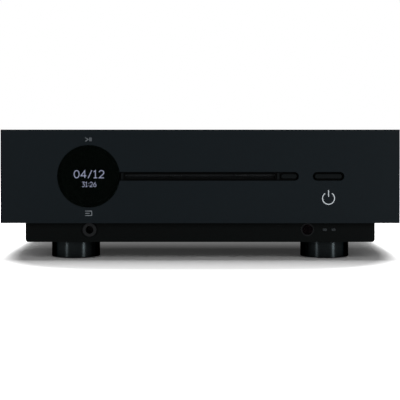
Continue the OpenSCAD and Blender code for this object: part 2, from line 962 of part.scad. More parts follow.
module rear_panel() {
  color("#1b1e20")
    difference() {
      union() {
        block([-half_w, rear_in, ledge_z], [half_w, rear_y, cover_z]);
        along_y(rear_in, rear_y)
          tray_outline(sheet_t + fit, ledge_z);
      }
      for (x = post_x)
        translate([x, 0, post_z])
          rod_y(post_neck_d + 2 * run, rear_in - cut, rear_y + cut);
      for (x = rca_x, z = rca_z)
        translate([x, 0, z])
          rod_y(rca_core_d + 2 * fit, rear_in - cut, rear_y + cut);
      translate([optical_x, 0, rear_row_z])
        block([-optical_w / 2 - fit, rear_in - cut, -optical_h / 2 - fit],
              [optical_w / 2 + fit, rear_y + cut, optical_h / 2 + fit]);
      translate([usb_x, 0, rear_row_z])
        block([-usb_w / 2 - fit, rear_in - cut, -usb_h / 2 - fit],
              [usb_w / 2 + fit, rear_y + cut, usb_h / 2 + fit]);
      translate([inlet_x, 0, inlet_z])
        block([-inlet_w / 2 - fit, rear_in - cut, -inlet_h / 2 - fit],
              [inlet_w / 2 + fit, rear_y + cut, inlet_h / 2 + fit]);
      at_rear_screws()
        rod_y(screw_d + 2 * run, rear_in - cut, rear_y + cut);
    }
}

module power_inlet() {
  half = inlet_w / 2;
  pin_half = half - rocker_pin_inset;
  color("#111213") {
    difference() {
      translate([inlet_x, 0, inlet_z]) {
        block([-half, rear_y - inlet_depth, -inlet_h / 2], [half, rear_y, inlet_h / 2]);
        block([-half - inlet_lip, rear_y, -inlet_h / 2 - inlet_lip],
              [half + inlet_lip, rear_y + inlet_lip_t, inlet_h / 2 + inlet_lip]);
      }
      translate([inlet_x, rear_y + inlet_lip_t, c14_z])
        block([-c14_w / 2, -c14_depth, -c14_h / 2], [c14_w / 2, cut, c14_h / 2]);
      translate([inlet_x, rear_y + inlet_lip_t, rocker_z])
        block([-rocker_w / 2 - button_fit, -rocker_depth, -rocker_open_h / 2],
              [rocker_w / 2 + button_fit, cut, rocker_open_h / 2]);
      translate([inlet_x, rocker_pivot_y, rocker_z])
        rod_x_axis(rocker_pin_d + 2 * run, -pin_half, pin_half);
    }
    for (pin = [[-blade_x, 1], [blade_x, 1], [0, -1]])
      translate([inlet_x + pin[0], rear_y + inlet_lip_t - c14_depth, c14_z + pin[1] * blade_h / 2])
        block([-blade_w / 2, -cut, -blade_h / 2], [blade_w / 2, c14_depth - blade_set, blade_h / 2]);
  }
}

// The rocker's side view, with its length along the second axis
module rocker_outline() {
  half = rocker_len / 2;
  back = half - rocker_taper;
  belly = back - rocker_taper;
  polygon([[-rocker_shoulder, -back], [-rocker_belly, -belly], [-rocker_belly, belly],
           [-rocker_shoulder, back], [rocker_crest, half], [rocker_dip, 0], [rocker_crest, -half]]);
}

module power_rocker() {
  pin_half = inlet_w / 2 - rocker_pin_inset - end_gap;
  color("#1a1b1c")
    translate([inlet_x, rocker_pivot_y, rocker_z])
      rotate([-rocker_tilt, 0, 0]) {
        translate([-rocker_w / 2, 0, 0])
          rotate([90, 0, 90])
            linear_extrude(rocker_w)
              rocker_outline();
        rod_x_axis(rocker_pin_d, -pin_half, pin_half);
      }
}

module post_studs() {
  color("#b58a3c")
    for (x = post_x)
      translate([x, 0, post_z])
        difference() {
          rod_y(post_stud_d, rear_in - post_inner_t - post_tail, post_bush_y1);
          rod_y(banana_d, post_bush_y1 - banana_depth, post_bush_y1 + cut);
          translate([0, rear_y + post_base_t + wire_hole_d / 2, 0])
            cylinder(d = wire_hole_d, h = post_stud_d + cut, center = true);
        }
}

module post_bases() {
  color("#151515")
    for (x = post_x)
      translate([x, 0, post_z])
        difference() {
          union() {
            rod_y(post_base_d, rear_y, rear_y + post_base_t);
            rod_y(post_neck_d, rear_in, rear_y + post_base_t);
            rod_y(post_base_d, rear_in - post_inner_t, rear_in);
          }
          rod_y(post_stud_d + 2 * run, rear_in - post_inner_t - cut, rear_y + post_base_t + cut);
        }
}

module post_bush(i) {
  color("#b58a3c")
    translate([post_x[i], 0, post_z])
      difference() {
        rod_y(post_bush_d, post_cap_y0, post_bush_y1 - rest_gap);
        rod_y(post_stud_d + 2 * run, post_cap_y0 - cut, post_bush_y1 + cut);
      }
}

module post_cap(i) {
  color(i % 2 == 0 ? "#8f1d1d" : "#161616")
    translate([post_x[i], 0, post_z])
      difference() {
        rod_y(post_cap_d, post_cap_y0, post_cap_y1);
        rod_y(post_bush_d + 2 * run, post_cap_y0 - cut, post_bush_y1);
        rod_y(banana_d + 2 * banana_lead, post_cap_y0 - cut, post_cap_y1 + cut);
        for (k = [0:flute_count - 1])
          rotate([0, k * 360 / flute_count, 0])
            translate([post_cap_d / 2 + flute_set, 0, 0])
              rod_y(flute_d, post_cap_y0 + flute_inset, post_cap_y1 - flute_inset);
      }
}

module post_bush_1() { post_bush(0); }
module post_bush_2() { post_bush(1); }
module post_bush_3() { post_bush(2); }
module post_bush_4() { post_bush(3); }
module post_cap_1() { post_cap(0); }
module post_cap_2() { post_cap(1); }
module post_cap_3() { post_cap(2); }
module post_cap_4() { post_cap(3); }

module at_rca() {
  for (x = rca_x, z = rca_z)
    translate([x, 0, z])
      children();
}

module rca_bodies() {
  color("#202224")
    at_rca()
      difference() {
        union() {
          block([-rca_block / 2, rear_in - rca_block_depth, -rca_block / 2],
                [rca_block / 2, rear_in, rca_block / 2]);
          rod_y(rca_core_d, rear_in - cut, rear_y + rca_len - rca_core_set);
        }
        rod_y(rca_pin_d, rear_y - rca_pin_depth, rear_y + rca_len);
      }
}

module rca_shells() {
  color("#c39a45")
    at_rca()
      difference() {
        union() {
          rod_y(rca_flange_d, rear_y, rear_y + rca_flange_t);
          rod_y(rca_d, rear_y, rear_y + rca_len + rca_flange_t);
        }
        rod_y(rca_core_d + 2 * run, rear_y - cut, rear_y + rca_len + rca_flange_t + cut);
      }
}

module optical_socket() {
  color("#121314")
    difference() {
      translate([optical_x, 0, rear_row_z])
        block([-optical_w / 2, optical_face_y - optical_depth - optical_back_t, -optical_h / 2],
              [optical_w / 2, optical_face_y, optical_h / 2]);
      translate([optical_x, 0, rear_row_z])
        block([-optical_hole / 2, optical_face_y - optical_depth, -optical_hole / 2],
              [optical_hole / 2, optical_face_y + cut, optical_hole / 2]);
      translate([optical_x, flap_pin_y, flap_pin_z])
        rod_x_axis(flap_pin_d + 2 * run, -optical_hole / 2 - flap_pin_seat, optical_hole / 2 + flap_pin_seat);
    }
}

module optical_flap() {
  half = optical_hole / 2 - rest_gap;
  pin_half = optical_hole / 2 + flap_pin_seat - end_gap;
  color("#1d1f20")
    translate([optical_x, flap_pin_y, flap_pin_z]) {
      block([-half, -flap_t / 2, flap_drop + rest_gap - optical_hole], [half, flap_t / 2, flap_head]);
      rod_x_axis(flap_pin_d, -pin_half, pin_half);
    }
}

module usb_socket() {
  color("#a5a8aa")
    translate([usb_x, 0, rear_row_z]) {
      difference() {
        block([-usb_w / 2, rear_y - usb_depth, -usb_h / 2], [usb_w / 2, rear_y + usb_proud, usb_h / 2]);
        block([-usb_w / 2 + usb_wall, rear_y - usb_depth + usb_back_t, -usb_h / 2 + usb_wall],
              [usb_w / 2 - usb_wall, rear_y + usb_proud + cut, usb_h / 2 - usb_wall]);
      }
      block([-usb_tongue_w / 2, rear_y - usb_depth + usb_back_t - cut, -usb_tongue_h / 2],
            [usb_tongue_w / 2, rear_y - usb_tongue_set, usb_tongue_h / 2]);
    }
}

module transport_deck() {
  color("#8b9094")
    difference() {
      union() {
        block([-deck_half_w, deck_y0, deck_under], [deck_half_w, deck_y1, deck_top]);
        for (sx = [-1, 1])
          block([sx > 0 ? deck_half_w - deck_t : -deck_half_w, deck_y0, deck_under],
                [sx > 0 ? deck_half_w : deck_t - deck_half_w, deck_y1, top_plate_z]);
        block([deck_half_w - deck_t, deck_y0, motor_z - motor_d / 2 - bracket_margin],
              [deck_half_w, deck_y0 + bracket_len, deck_top]);
        for (sx = [-1, 1], y = guide_y)
          translate([sx * guide_x, y, deck_top])
            cylinder(d = guide_d, h = rest_gap + guide_len);
      }
      translate([0, roller_y, roller_z])
        rod_x_axis(roller_shaft_d + 2 * run, -deck_half_w - cut, deck_half_w + cut);
      translate([0, roller_y, motor_z])
        rod_x_axis(motor_shaft_d + 2 * motor_shaft_room, deck_half_w - deck_t - cut, deck_half_w + cut);
    }
}

module transport_legs() {
  color("#6f7478")
    for (sx = [-1, 1], y = [deck_y0 + bracket_len + leg_inset, deck_y1 - leg_inset])
      translate([sx * (deck_half_w - leg_inset), y, floor_z])
        cylinder(d = leg_d, h = deck_under - floor_z);
}

module transport_top() {
  color("#9aa0a4")
    difference() {
      block([-deck_half_w, deck_y0, top_plate_z], [deck_half_w, deck_y1, top_plate_z + top_plate_t]);
      translate([0, spindle_y, top_plate_z - cut])
        cylinder(d = puck_d + 4 * rest_gap, h = top_plate_t + 2 * cut);
    }
}

// A belt pulley along X, its first flange at the origin
module belt_pulley() {
  rod_x_axis(2 * pulley_r, 0, pulley_rim);
  rod_x_axis(2 * groove_r, 0, pulley_w);
  rod_x_axis(2 * pulley_r, pulley_w - pulley_rim, pulley_w);
}

module loading_roller() {
  waist_r = roller_r - roller_waist;
  color("#2b2d2f")
    translate([0, roller_y, roller_z]) {
      rod_x_axis(roller_shaft_d, -deck_half_w - roller_shaft_end, pulley_x + pulley_w);
      rotate([0, 90, 0])
        rotate_extrude()
          polygon([[0, -roller_half], [roller_r, -roller_half], [waist_r, 0], [roller_r, roller_half],
                   [0, roller_half]]);
      translate([pulley_x, 0, 0])
        belt_pulley();
    }
}

module loading_motor() {
  face = deck_half_w - deck_t;
  color("#a7abae")
    translate([0, roller_y, motor_z])
      difference() {
        rod_x_axis(motor_d, face - motor_len, face);
        rod_x_axis(motor_shaft_d + 2 * run, face - motor_seat, face + cut);
      }
}

module motor_pulley() {
  color("#d8d4c8")
    translate([0, roller_y, motor_z]) {
      rod_x_axis(motor_shaft_d, deck_half_w - deck_t - motor_seat + end_gap, pulley_x + pulley_w);
      translate([pulley_x, 0, 0])
        belt_pulley();
    }
}

module loading_belt() {
  outer = belt_r + belt_t;
  color("#1c1c1c")
    translate([pulley_x + (pulley_w - belt_w) / 2, roller_y, motor_z])
      rotate([90, 0, 90])
        linear_extrude(belt_w)
          difference() {
            union() {
              circle(r = outer);
              translate([0, belt_drop])
                circle(r = outer);
              translate([-outer, 0])
                square([2 * outer, belt_drop]);
            }
            circle(r = belt_r);
            translate([0, belt_drop])
              circle(r = belt_r);
            translate([-belt_r, 0])
              square([2 * belt_r, belt_drop]);
          }
}

module traverse_frame() {
  color("#5d6266")
    difference() {
      union() {
        block([-traverse_half_w, traverse_y0, traverse_z], [traverse_half_w, traverse_y1, traverse_top]);
        for (y = [lug_y0, lug_y1])
          block([-rod_x - lug_margin, y, traverse_top], [screw_x + lug_margin, y + lug_t, rod_z + lug_cover]);
      }
      for (x = [-rod_x, rod_x, screw_x])
        translate([x, 0, rod_z])
          rod_y(rod_d + 2 * run, lug_y0 - cut, lug_y1 + lug_t + cut);
      for (sx = [-1, 1], y = guide_y)
        translate([sx * guide_x, y, traverse_z - cut])
          cylinder(d = guide_d + 2 * run, h = traverse_t + 2 * cut);
    }
}

module guide_rods() {
  color("#c8ccd0")
    for (x = [-rod_x, rod_x])
      translate([x, 0, rod_z])
        rod_y(rod_d, lug_y0, lug_y1 + lug_t);
}

module lead_screw() {
  color("#b9a06a")
    translate([screw_x, 0, rod_z])
      rod_y(rod_d, lug_y0 - screw_seat, lug_y1 + lug_t);
}

module sled_motor() {
  color("#a7abae")
    difference() {
      intersection() {
        translate([screw_x, 0, rod_z])
          rod_y(sled_motor_d, lug_y0 - sled_motor_len, lug_y0);
        block([screw_x - sled_motor_d, lug_y0 - sled_motor_len, traverse_top],
              [screw_x + sled_motor_d, lug_y0, traverse_top + sled_motor_h]);
      }
      translate([screw_x, 0, rod_z])
        rod_y(rod_d + 2 * run, lug_y0 - screw_seat - end_gap, lug_y0 + cut);
    }
}

module pickup_sled() {
  color("#33373a")
    difference() {
      union() {
        block([-rod_x - sled_margin, sled_y0, sled_z], [screw_x + sled_margin, sled_y0 + sled_len, sled_top]);
        translate([0, lens_y, sled_top])
          cylinder(d = lens_d, h = lens_h);
      }
      for (x = [-rod_x, rod_x, screw_x])
        translate([x, 0, rod_z])
          rod_y(rod_d + 2 * run, sled_y0 - cut, sled_y0 + sled_len + cut);
    }
}

module spindle_motor() {
  color("#a7abae")
    translate([0, spindle_y, traverse_top])
      difference() {
        cylinder(d = spindle_motor_d, h = platter_z - platter_t - rest_gap - traverse_top);
        translate([0, 0, spindle_floor])
          cylinder(d = spindle_shaft_d + 2 * run, h = platter_z - traverse_top);
      }
}

module turntable() {
  color("#26292b")
    translate([0, spindle_y, 0]) {
      translate([0, 0, platter_z - platter_t])
        cylinder(d = platter_d, h = platter_t);
      translate([0, 0, platter_z])
        cylinder(d = hub_d, h = hub_h - hub_taper_h);
      translate([0, 0, platter_z + hub_h - hub_taper_h])
        cylinder(d1 = hub_d, d2 = hub_d - 2 * hub_taper, h = hub_taper_h);
      translate([0, 0, traverse_top + spindle_floor + end_gap])
        cylinder(d = spindle_shaft_d, h = platter_z - traverse_top - spindle_floor - end_gap);
    }
}

module clamp_puck() {
  seat = top_plate_z + top_plate_t + rest_gap;
  color("#2e3133")
    translate([0, spindle_y, 0]) {
      translate([0, 0, puck_z])
        cylinder(d = puck_d, h = seat - puck_z);
      translate([0, 0, seat])
        cylinder(d = puck_flange_d, h = puck_flange_t);
    }
}

module transformer() {
  r = toroid_d / 2;
  bore_r = toroid_hole_d / 2;
  e = toroid_edge_r;
  color("#3a2f22")
    translate([toroid_x, toroid_y, floor_z])
      rotate_extrude() {
        translate([bore_r, e])
          square([r - bore_r, toroid_h - 2 * e]);
        translate([bore_r + e, 0])
          square([r - bore_r - 2 * e, toroid_h]);
        for (x = [bore_r + e, r - e], z = [e, toroid_h - e])
          translate([x, z])
            circle(r = e);
      }
}

module transformer_clamp() {
  top = floor_z + toroid_h;
  color("#9aa0a4")
    translate([toroid_x, toroid_y, 0]) {
      translate([0, 0, top])
        cylinder(d = clamp_d, h = clamp_t);
      translate([0, 0, floor_z])
        cylinder(d = clamp_bolt_d, h = toroid_h + clamp_t);
      translate([0, 0, top + clamp_t])
        cylinder(d = 2 * clamp_bolt_d, h = clamp_nut_h, $fn = 6);
    }
}

module main_board() {
  color("#123322")
    block([main_board_x0, main_board_y0, main_board_z], [main_board_x1, main_board_y1, main_board_top]);
}

module capacitors() {
  color("#20262b")
    for (i = [0:3])
      translate([main_board_x0 + can_pitch * (i + 0.5), main_board_y0 + can_pitch / 2, main_board_top])
        cylinder(d = cap_can_d, h = cap_can_h);
}

module output_devices() {
  color("#151617")
    for (sx = [-1, 1], y = device_y)
      block([sx > 0 ? upper_half_w - device_t : -upper_half_w, y, device_z],
            [sx > 0 ? upper_half_w : device_t - upper_half_w, y + device_w, device_z + device_h]);
}

front_panel();
base_tray();
top_cover();
rear_panel();
left_heatsink();
right_heatsink();
foot_front_left();
foot_front_right();
foot_rear_left();
foot_rear_right();
foot_pads();
screws();
display_window();
display_module();
slot_bezel();
mouth_felts();
eject_button();
standby_button();
key_board();
front_board();
headphone_jack();
ir_window();
status_lights();
power_inlet();
power_rocker();
post_studs();
post_bases();
post_bush_1();
post_bush_2();
post_bush_3();
post_bush_4();
post_cap_1();
post_cap_2();
post_cap_3();
post_cap_4();
rca_bodies();
rca_shells();
optical_socket();
optical_flap();
usb_socket();
transport_deck();
transport_legs();
transport_top();
loading_roller();
loading_motor();
motor_pulley();
loading_belt();
traverse_frame();
spindle_motor();
turntable();
pickup_sled();
guide_rods();
lead_screw();
sled_motor();
clamp_puck();
transformer();
transformer_clamp();
main_board();
capacitors();
output_devices();
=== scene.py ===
"""Looks of a slot-loading disc amplifier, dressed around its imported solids.

Lengths are metres unless a name ends in _mm. The front faces -Y and +Z is up.
"""

import logging
import math
import random
from abc import ABC, abstractmethod
from dataclasses import dataclass
from enum import Enum
from typing import Any, Sequence

import bmesh
import bpy
from mathutils import Matrix, Vector


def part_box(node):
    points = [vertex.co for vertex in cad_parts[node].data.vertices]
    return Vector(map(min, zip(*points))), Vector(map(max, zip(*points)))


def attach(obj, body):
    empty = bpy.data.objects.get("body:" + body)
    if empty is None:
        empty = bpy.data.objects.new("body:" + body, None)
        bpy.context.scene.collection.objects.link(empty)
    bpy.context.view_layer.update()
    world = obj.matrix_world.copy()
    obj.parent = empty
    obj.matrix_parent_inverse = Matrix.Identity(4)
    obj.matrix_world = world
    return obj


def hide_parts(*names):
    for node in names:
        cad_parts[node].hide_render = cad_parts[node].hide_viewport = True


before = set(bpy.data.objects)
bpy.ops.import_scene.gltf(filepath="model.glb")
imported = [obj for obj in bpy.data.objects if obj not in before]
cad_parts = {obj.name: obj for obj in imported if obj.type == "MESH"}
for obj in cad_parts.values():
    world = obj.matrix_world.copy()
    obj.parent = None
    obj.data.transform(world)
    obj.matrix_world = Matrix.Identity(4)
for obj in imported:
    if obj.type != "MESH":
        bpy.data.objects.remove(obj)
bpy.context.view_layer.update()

LOG = logging.getLogger("amplifier")
MM = 0.001
PIECE_SEED = 7
MITRE_LEAST = 0.4
FIGURE_GAP = 0.22
JOIN_GAP = 1e-6
SEAM_GAP = 1e-7
EDGE_ANGLE = math.radians(40)
CREASE_ANGLE = math.radians(35)
# The floor's patch is the curve on which the fourth powers of its two shares add up to one.
PATCH_POWER = 4
UPRIGHT = Matrix.Identity(4)
TO_FRONT = Matrix.Rotation(math.radians(90), 3, "X")
TO_REAR = Matrix.Rotation(math.radians(-90), 3, "X")

Point = tuple[float, float]
Tree = bpy.types.NodeTree
Socket = bpy.types.NodeSocket
Shape = bmesh.types.BMesh


def linear(code: str) -> tuple[float, float, float, float]:
    """Turn an sRGB hex colour into linear light.

    Args:
        code: Six hex digits after a hash sign.

    Returns:
        Red, green, blue and alpha, linear.
    """
    parts = [int(code[i:i + 2], 16) / 255 for i in (1, 3, 5)]
    red, green, blue = (p / 12.92 if p <= 0.04045 else ((p + 0.055) / 1.055) ** 2.4 for p in parts)
    return red, green, blue, 1.0


def add_node(tree: Tree, kind: str, settings: dict[Any, Any] | None = None,
             links: dict[Any, Socket | bpy.types.Node] | None = None) -> bpy.types.Node:
    """Add one shader node with its settings and links.

    Args:
        tree: The node tree that gets the node.
        kind: Blender's type name of the node, without ShaderNode.
        settings: Values of its inputs, by name or number, and of its properties.
        links: What feeds each input: a socket, or a node for its first output.

    Returns:
        The new node.
    """
    node = tree.nodes.new("ShaderNode" + kind)
    for key, value in (settings or {}).items():
        if isinstance(key, int) or key in node.inputs:
            node.inputs[key].default_value = value
        else:
            setattr(node, key, value)
    for key, source in (links or {}).items():
        socket = source.outputs[0] if isinstance(source, bpy.types.Node) else source
        tree.links.new(socket, node.inputs[key])
    return node


class Finish(ABC):
    """A surface finish: a real material and how its surface was made."""

    name: str

    def material(self) -> bpy.types.Material:
        """Make the material once, and give the same one to every later piece."""
        found = bpy.data.materials.get(self.name)
        if found:
            return found
        made = bpy.data.materials.new(self.name)
        made.use_nodes = True
        tree = made.node_tree
        tree.nodes.clear()
        add_node(tree, "OutputMaterial", links={"Surface": self.shade(tree)})
        return made

    @abstractmethod
    def shade(self, tree: Tree) -> Socket:
        """Build the shader.

        Args:
            tree: The material's node tree.

        Returns:
            The socket that feeds the surface.
        """


@dataclass(frozen=True)
class Grained(Finish):
    """An opaque surface with a grain: blasted, coated, moulded, brushed, turned or drawn."""

    name: str
    colour: str
    shade_colour: str
    grain_mm: float
    roughness: float
    spread: float = 0.06
    metallic: float = 0.0
    specular: float = 0.5
    bump_mm: float = 0.004
    drift_mm: float = 6.0
    stretch: tuple[float, float, float] = (1.0, 1.0, 1.0)
    turned: float = 0.0
    edge: str = "#ffffff"

    def shade(self, tree: Tree) -> Socket:
        """Grain drives roughness and bump, and a slow drift moves the colour between its two shades."""
        place = add_node(tree, "TexCoord").outputs["Object"]
        drawn = add_node(tree, "Mapping", {"Scale": self.stretch}, {"Vector": place})
        grain = add_node(tree, "TexNoise",
                         {"Scale": 1 / (self.grain_mm * MM), "Detail": 3.0, "Roughness": 0.6},
                         {"Vector": drawn})
        drift = add_node(tree, "TexNoise", {"Scale": 1 / (self.drift_mm * MM), "Detail": 2.0},
                         {"Vector": place})
        amount = add_node(tree, "Math", {"operation": "MULTIPLY_ADD", 1: 0.5}, {0: drift, 2: grain})
        sway = add_node(tree, "MapRange", {"From Min": 0.45, "From Max": 1.05}, {"Value": amount})
        tone = add_node(tree, "Mix",
                        {"data_type": "RGBA", 6: linear(self.shade_colour), 7: linear(self.colour)},
                        {0: sway})
        rough = add_node(tree, "MapRange",
                         {"From Min": 0.3, "From Max": 0.7, "To Min": max(self.roughness - self.spread, 0.02),
                          "To Max": self.roughness + self.spread},
                         {"Value": grain})
        bump = add_node(tree, "Bump", {"Strength": 0.6, "Distance": self.bump_mm * MM}, {"Height": grain})
        around = add_node(tree, "Tangent", {"direction_type": "RADIAL", "axis": "Z"})
        surface = add_node(tree, "BsdfPrincipled",
                           {"Metallic": self.metallic, "Specular IOR Level": self.specular,
                            "Specular Tint": linear(self.edge), "Anisotropic": self.turned,
                            "Anisotropic Rotation": 0.25},
                           {"Base Color": tone.outputs[2], "Roughness": rough,
                            "Normal": bump, "Tangent": around})
        return surface.outputs["BSDF"]


@dataclass(frozen=True)
class SmokedGlass(Finish):
    """Polished glass or acrylic with a dark body: only what is lit behind it shows through."""

    name: str
    body: str
    glint: str
    passes: float
    roughness: float = 0.03
    polish_mm: float = 9.0

    def shade(self, tree: Tree) -> Socket:
        """A dark body that both faces thin alike, under an uneven polish and a coated reflection."""
        place = add_node(tree, "TexCoord").outputs["Object"]
        polish = add_node(tree, "TexNoise", {"Scale": 1 / (self.polish_mm * MM), "Detail": 4.0},
                          {"Vector": place})
        rough = add_node(tree, "MapRange",
                         {"To Min": self.roughness * 0.6, "To Max": self.roughness * 1.4},
                         {"Value": polish})
        surface = add_node(tree, "BsdfPrincipled",
                           {"Base Color": linear(self.body), "Alpha": 1 - math.sqrt(self.passes),
                            "Specular Tint": linear(self.glint)},
                           {"Roughness": rough})
        return surface.outputs["BSDF"]


@dataclass(frozen=True)
class LitPixels(Finish):
    """A lit display character: rows of dots too fine to count, brighter at the dots than between them."""

    name: str
    colour: str
    strength: float
    dot_mm: float = 0.5

    def shade(self, tree: Tree) -> Socket:
        """Emission that dips a little between the display's dots."""
        place = add_node(tree, "TexCoord").outputs["Object"]
        dots = add_node(tree, "TexVoronoi", {"Scale": 1 / (self.dot_mm * MM), "Randomness": 0.0},
                        {"Vector": place})
        dip = add_node(tree, "MapRange",
                       {"From Max": 0.7, "To Min": self.strength, "To Max": self.strength * 0.7},
                       {"Value": dots})
        glow = add_node(tree, "Emission", {"Color": linear(self.colour)}, {"Strength": dip})
        return glow.outputs["Emission"]


@dataclass(frozen=True)
class CircuitBoard(Finish):
    """Glass-fibre board under solder mask: flat green with paler copper runs showing through."""

    name: str
    mask: str
    copper: str
    run_mm: float = 2.4

    def shade(self, tree: Tree) -> Socket:
        """Square runs under a half-gloss mask."""
        place = add_node(tree, "TexCoord").outputs["Object"]
        mask, copper = linear(self.mask), linear(self.copper)
        runs = add_node(tree, "TexBrick",
                        {"Scale": 1 / (4 * self.run_mm * MM), "Mortar Size": 0.03, "Color1": mask,
                         "Color2": mask, "Mortar": copper}, {"Vector": place})
        bump = add_node(tree, "Bump", {"Strength": 0.5, "Distance": 0.04 * MM},
                        {"Height": runs.outputs["Fac"]})
        surface = add_node(tree, "BsdfPrincipled", {"Roughness": 0.38}, {"Base Color": runs, "Normal": bump})
        return surface.outputs["BSDF"]


@dataclass(frozen=True)
class Felt(Finish):
    """Short black pile: soft, with a pale sheen where fibres turn to the light."""

    name: str
    colour: str
    shade_colour: str
    fibre_mm: float

    def shade(self, tree: Tree) -> Socket:
        """Fibres vary in shade and scatter light at a grazing angle."""
        place = add_node(tree, "TexCoord").outputs["Object"]
        fibres = add_node(tree, "TexNoise", {"Scale": 1 / (self.fibre_mm * MM), "Detail": 2.0},
                          {"Vector": place})
        tone = add_node(tree, "Mix",
                        {"data_type": "RGBA", 6: linear(self.shade_colour), 7: linear(self.colour)},
                        {0: fibres})
        surface = add_node(tree, "BsdfPrincipled",
                           {"Roughness": 0.95, "Specular IOR Level": 0.1, "Sheen Weight": 0.15},
                           {"Base Color": tone.outputs[2]})
        return surface.outputs["BSDF"]


def background_ray(tree: Tree) -> Socket:
    """Tell the rays that show the background from those that only light the object.

    Args:
        tree: The node tree of the floor or the world.

    Returns:
        1 for a ray from the camera, or one that a mirror or glass sends on, and 0 for any other.
    """
    path = add_node(tree, "LightPath")
    direct = add_node(tree, "Math", {"operation": "MAXIMUM"},
                      {0: path.outputs["Is Camera Ray"], 1: path.outputs["Is Glossy Ray"]})
    seen = add_node(tree, "Math", {"operation": "MAXIMUM"},
                    {0: direct, 1: path.outputs["Is Transmission Ray"]})
    return seen.outputs["Value"]


@dataclass(frozen=True)
class FloorPaper(Finish):
    """White studio paper: a matt, rounded patch that takes the object's shadow under a painted glow, and
    plain white around it.
    """

    name: str
    colour: str
    least: float
    near_mm: float
    far_mm: float
    rear_mm: float
    wall_mm: float
    patch_mm: Point
    patch_edge: Point

    def shade(self, tree: Tree) -> Socket:
        """Matt paper near the object, turning to plain white away from it, behind it and off the patch; a
        glow lightens the shadow a little everywhere and more towards the rear: painted light.
        """
        place = add_node(tree, "TexCoord").outputs["Object"]
        axes = add_node(tree, "SeparateXYZ", links={0: place})
        reach = add_node(tree, "VectorMath", {"operation": "LENGTH"}, {0: place})
        away = add_node(tree, "MapRange",
                        {"From Min": self.near_mm * MM, "From Max": self.far_mm * MM},
                        {"Value": reach.outputs["Value"]})
        # Painted light: a faint glow everywhere, growing from under the object towards the rear, lightens the
        # floor's shadow.
        rise = add_node(tree, "MapRange",
                        {"From Min": self.rear_mm * MM, "From Max": self.wall_mm * MM, "To Min": self.least},
                        {"Value": axes.outputs["Y"]})
        far_or_lifted = add_node(tree, "Math", {"operation": "MAXIMUM"}, {0: away, 1: rise})
        half_x, half_y = (half * MM for half in self.patch_mm)
        patch = add_node(tree, "VectorMath", {"operation": "DIVIDE", 1: (half_x, half_y, 1.0)}, {0: place})
        square = add_node(tree, "VectorMath", {"operation": "MULTIPLY"}, {0: patch, 1: patch})
        span = add_node(tree, "VectorMath", {"operation": "DOT_PRODUCT"}, {0: square, 1: square})
        inner, outer = (edge ** PATCH_POWER for edge in self.patch_edge)
        # Off the patch the paper glows white, which covers the ends of the shadow with painted light.
        beside = add_node(tree, "MapRange",
                          {"interpolation_type": "SMOOTHSTEP", "From Min": inner, "From Max": outer},
                          {"Value": span.outputs["Value"]})
        white = add_node(tree, "Math", {"operation": "MAXIMUM"}, {0: far_or_lifted, 1: beside})
        amount = add_node(tree, "Math", {"operation": "MULTIPLY"}, {0: background_ray(tree), 1: white})
        matt = add_node(tree, "BsdfDiffuse", {"Color": linear(self.colour)})
        glow = add_node(tree, "Emission", {"Color": linear(self.colour)}, {"Strength": amount})
        both = add_node(tree, "AddShader", links={0: matt, 1: glow})
        return both.outputs["Shader"]


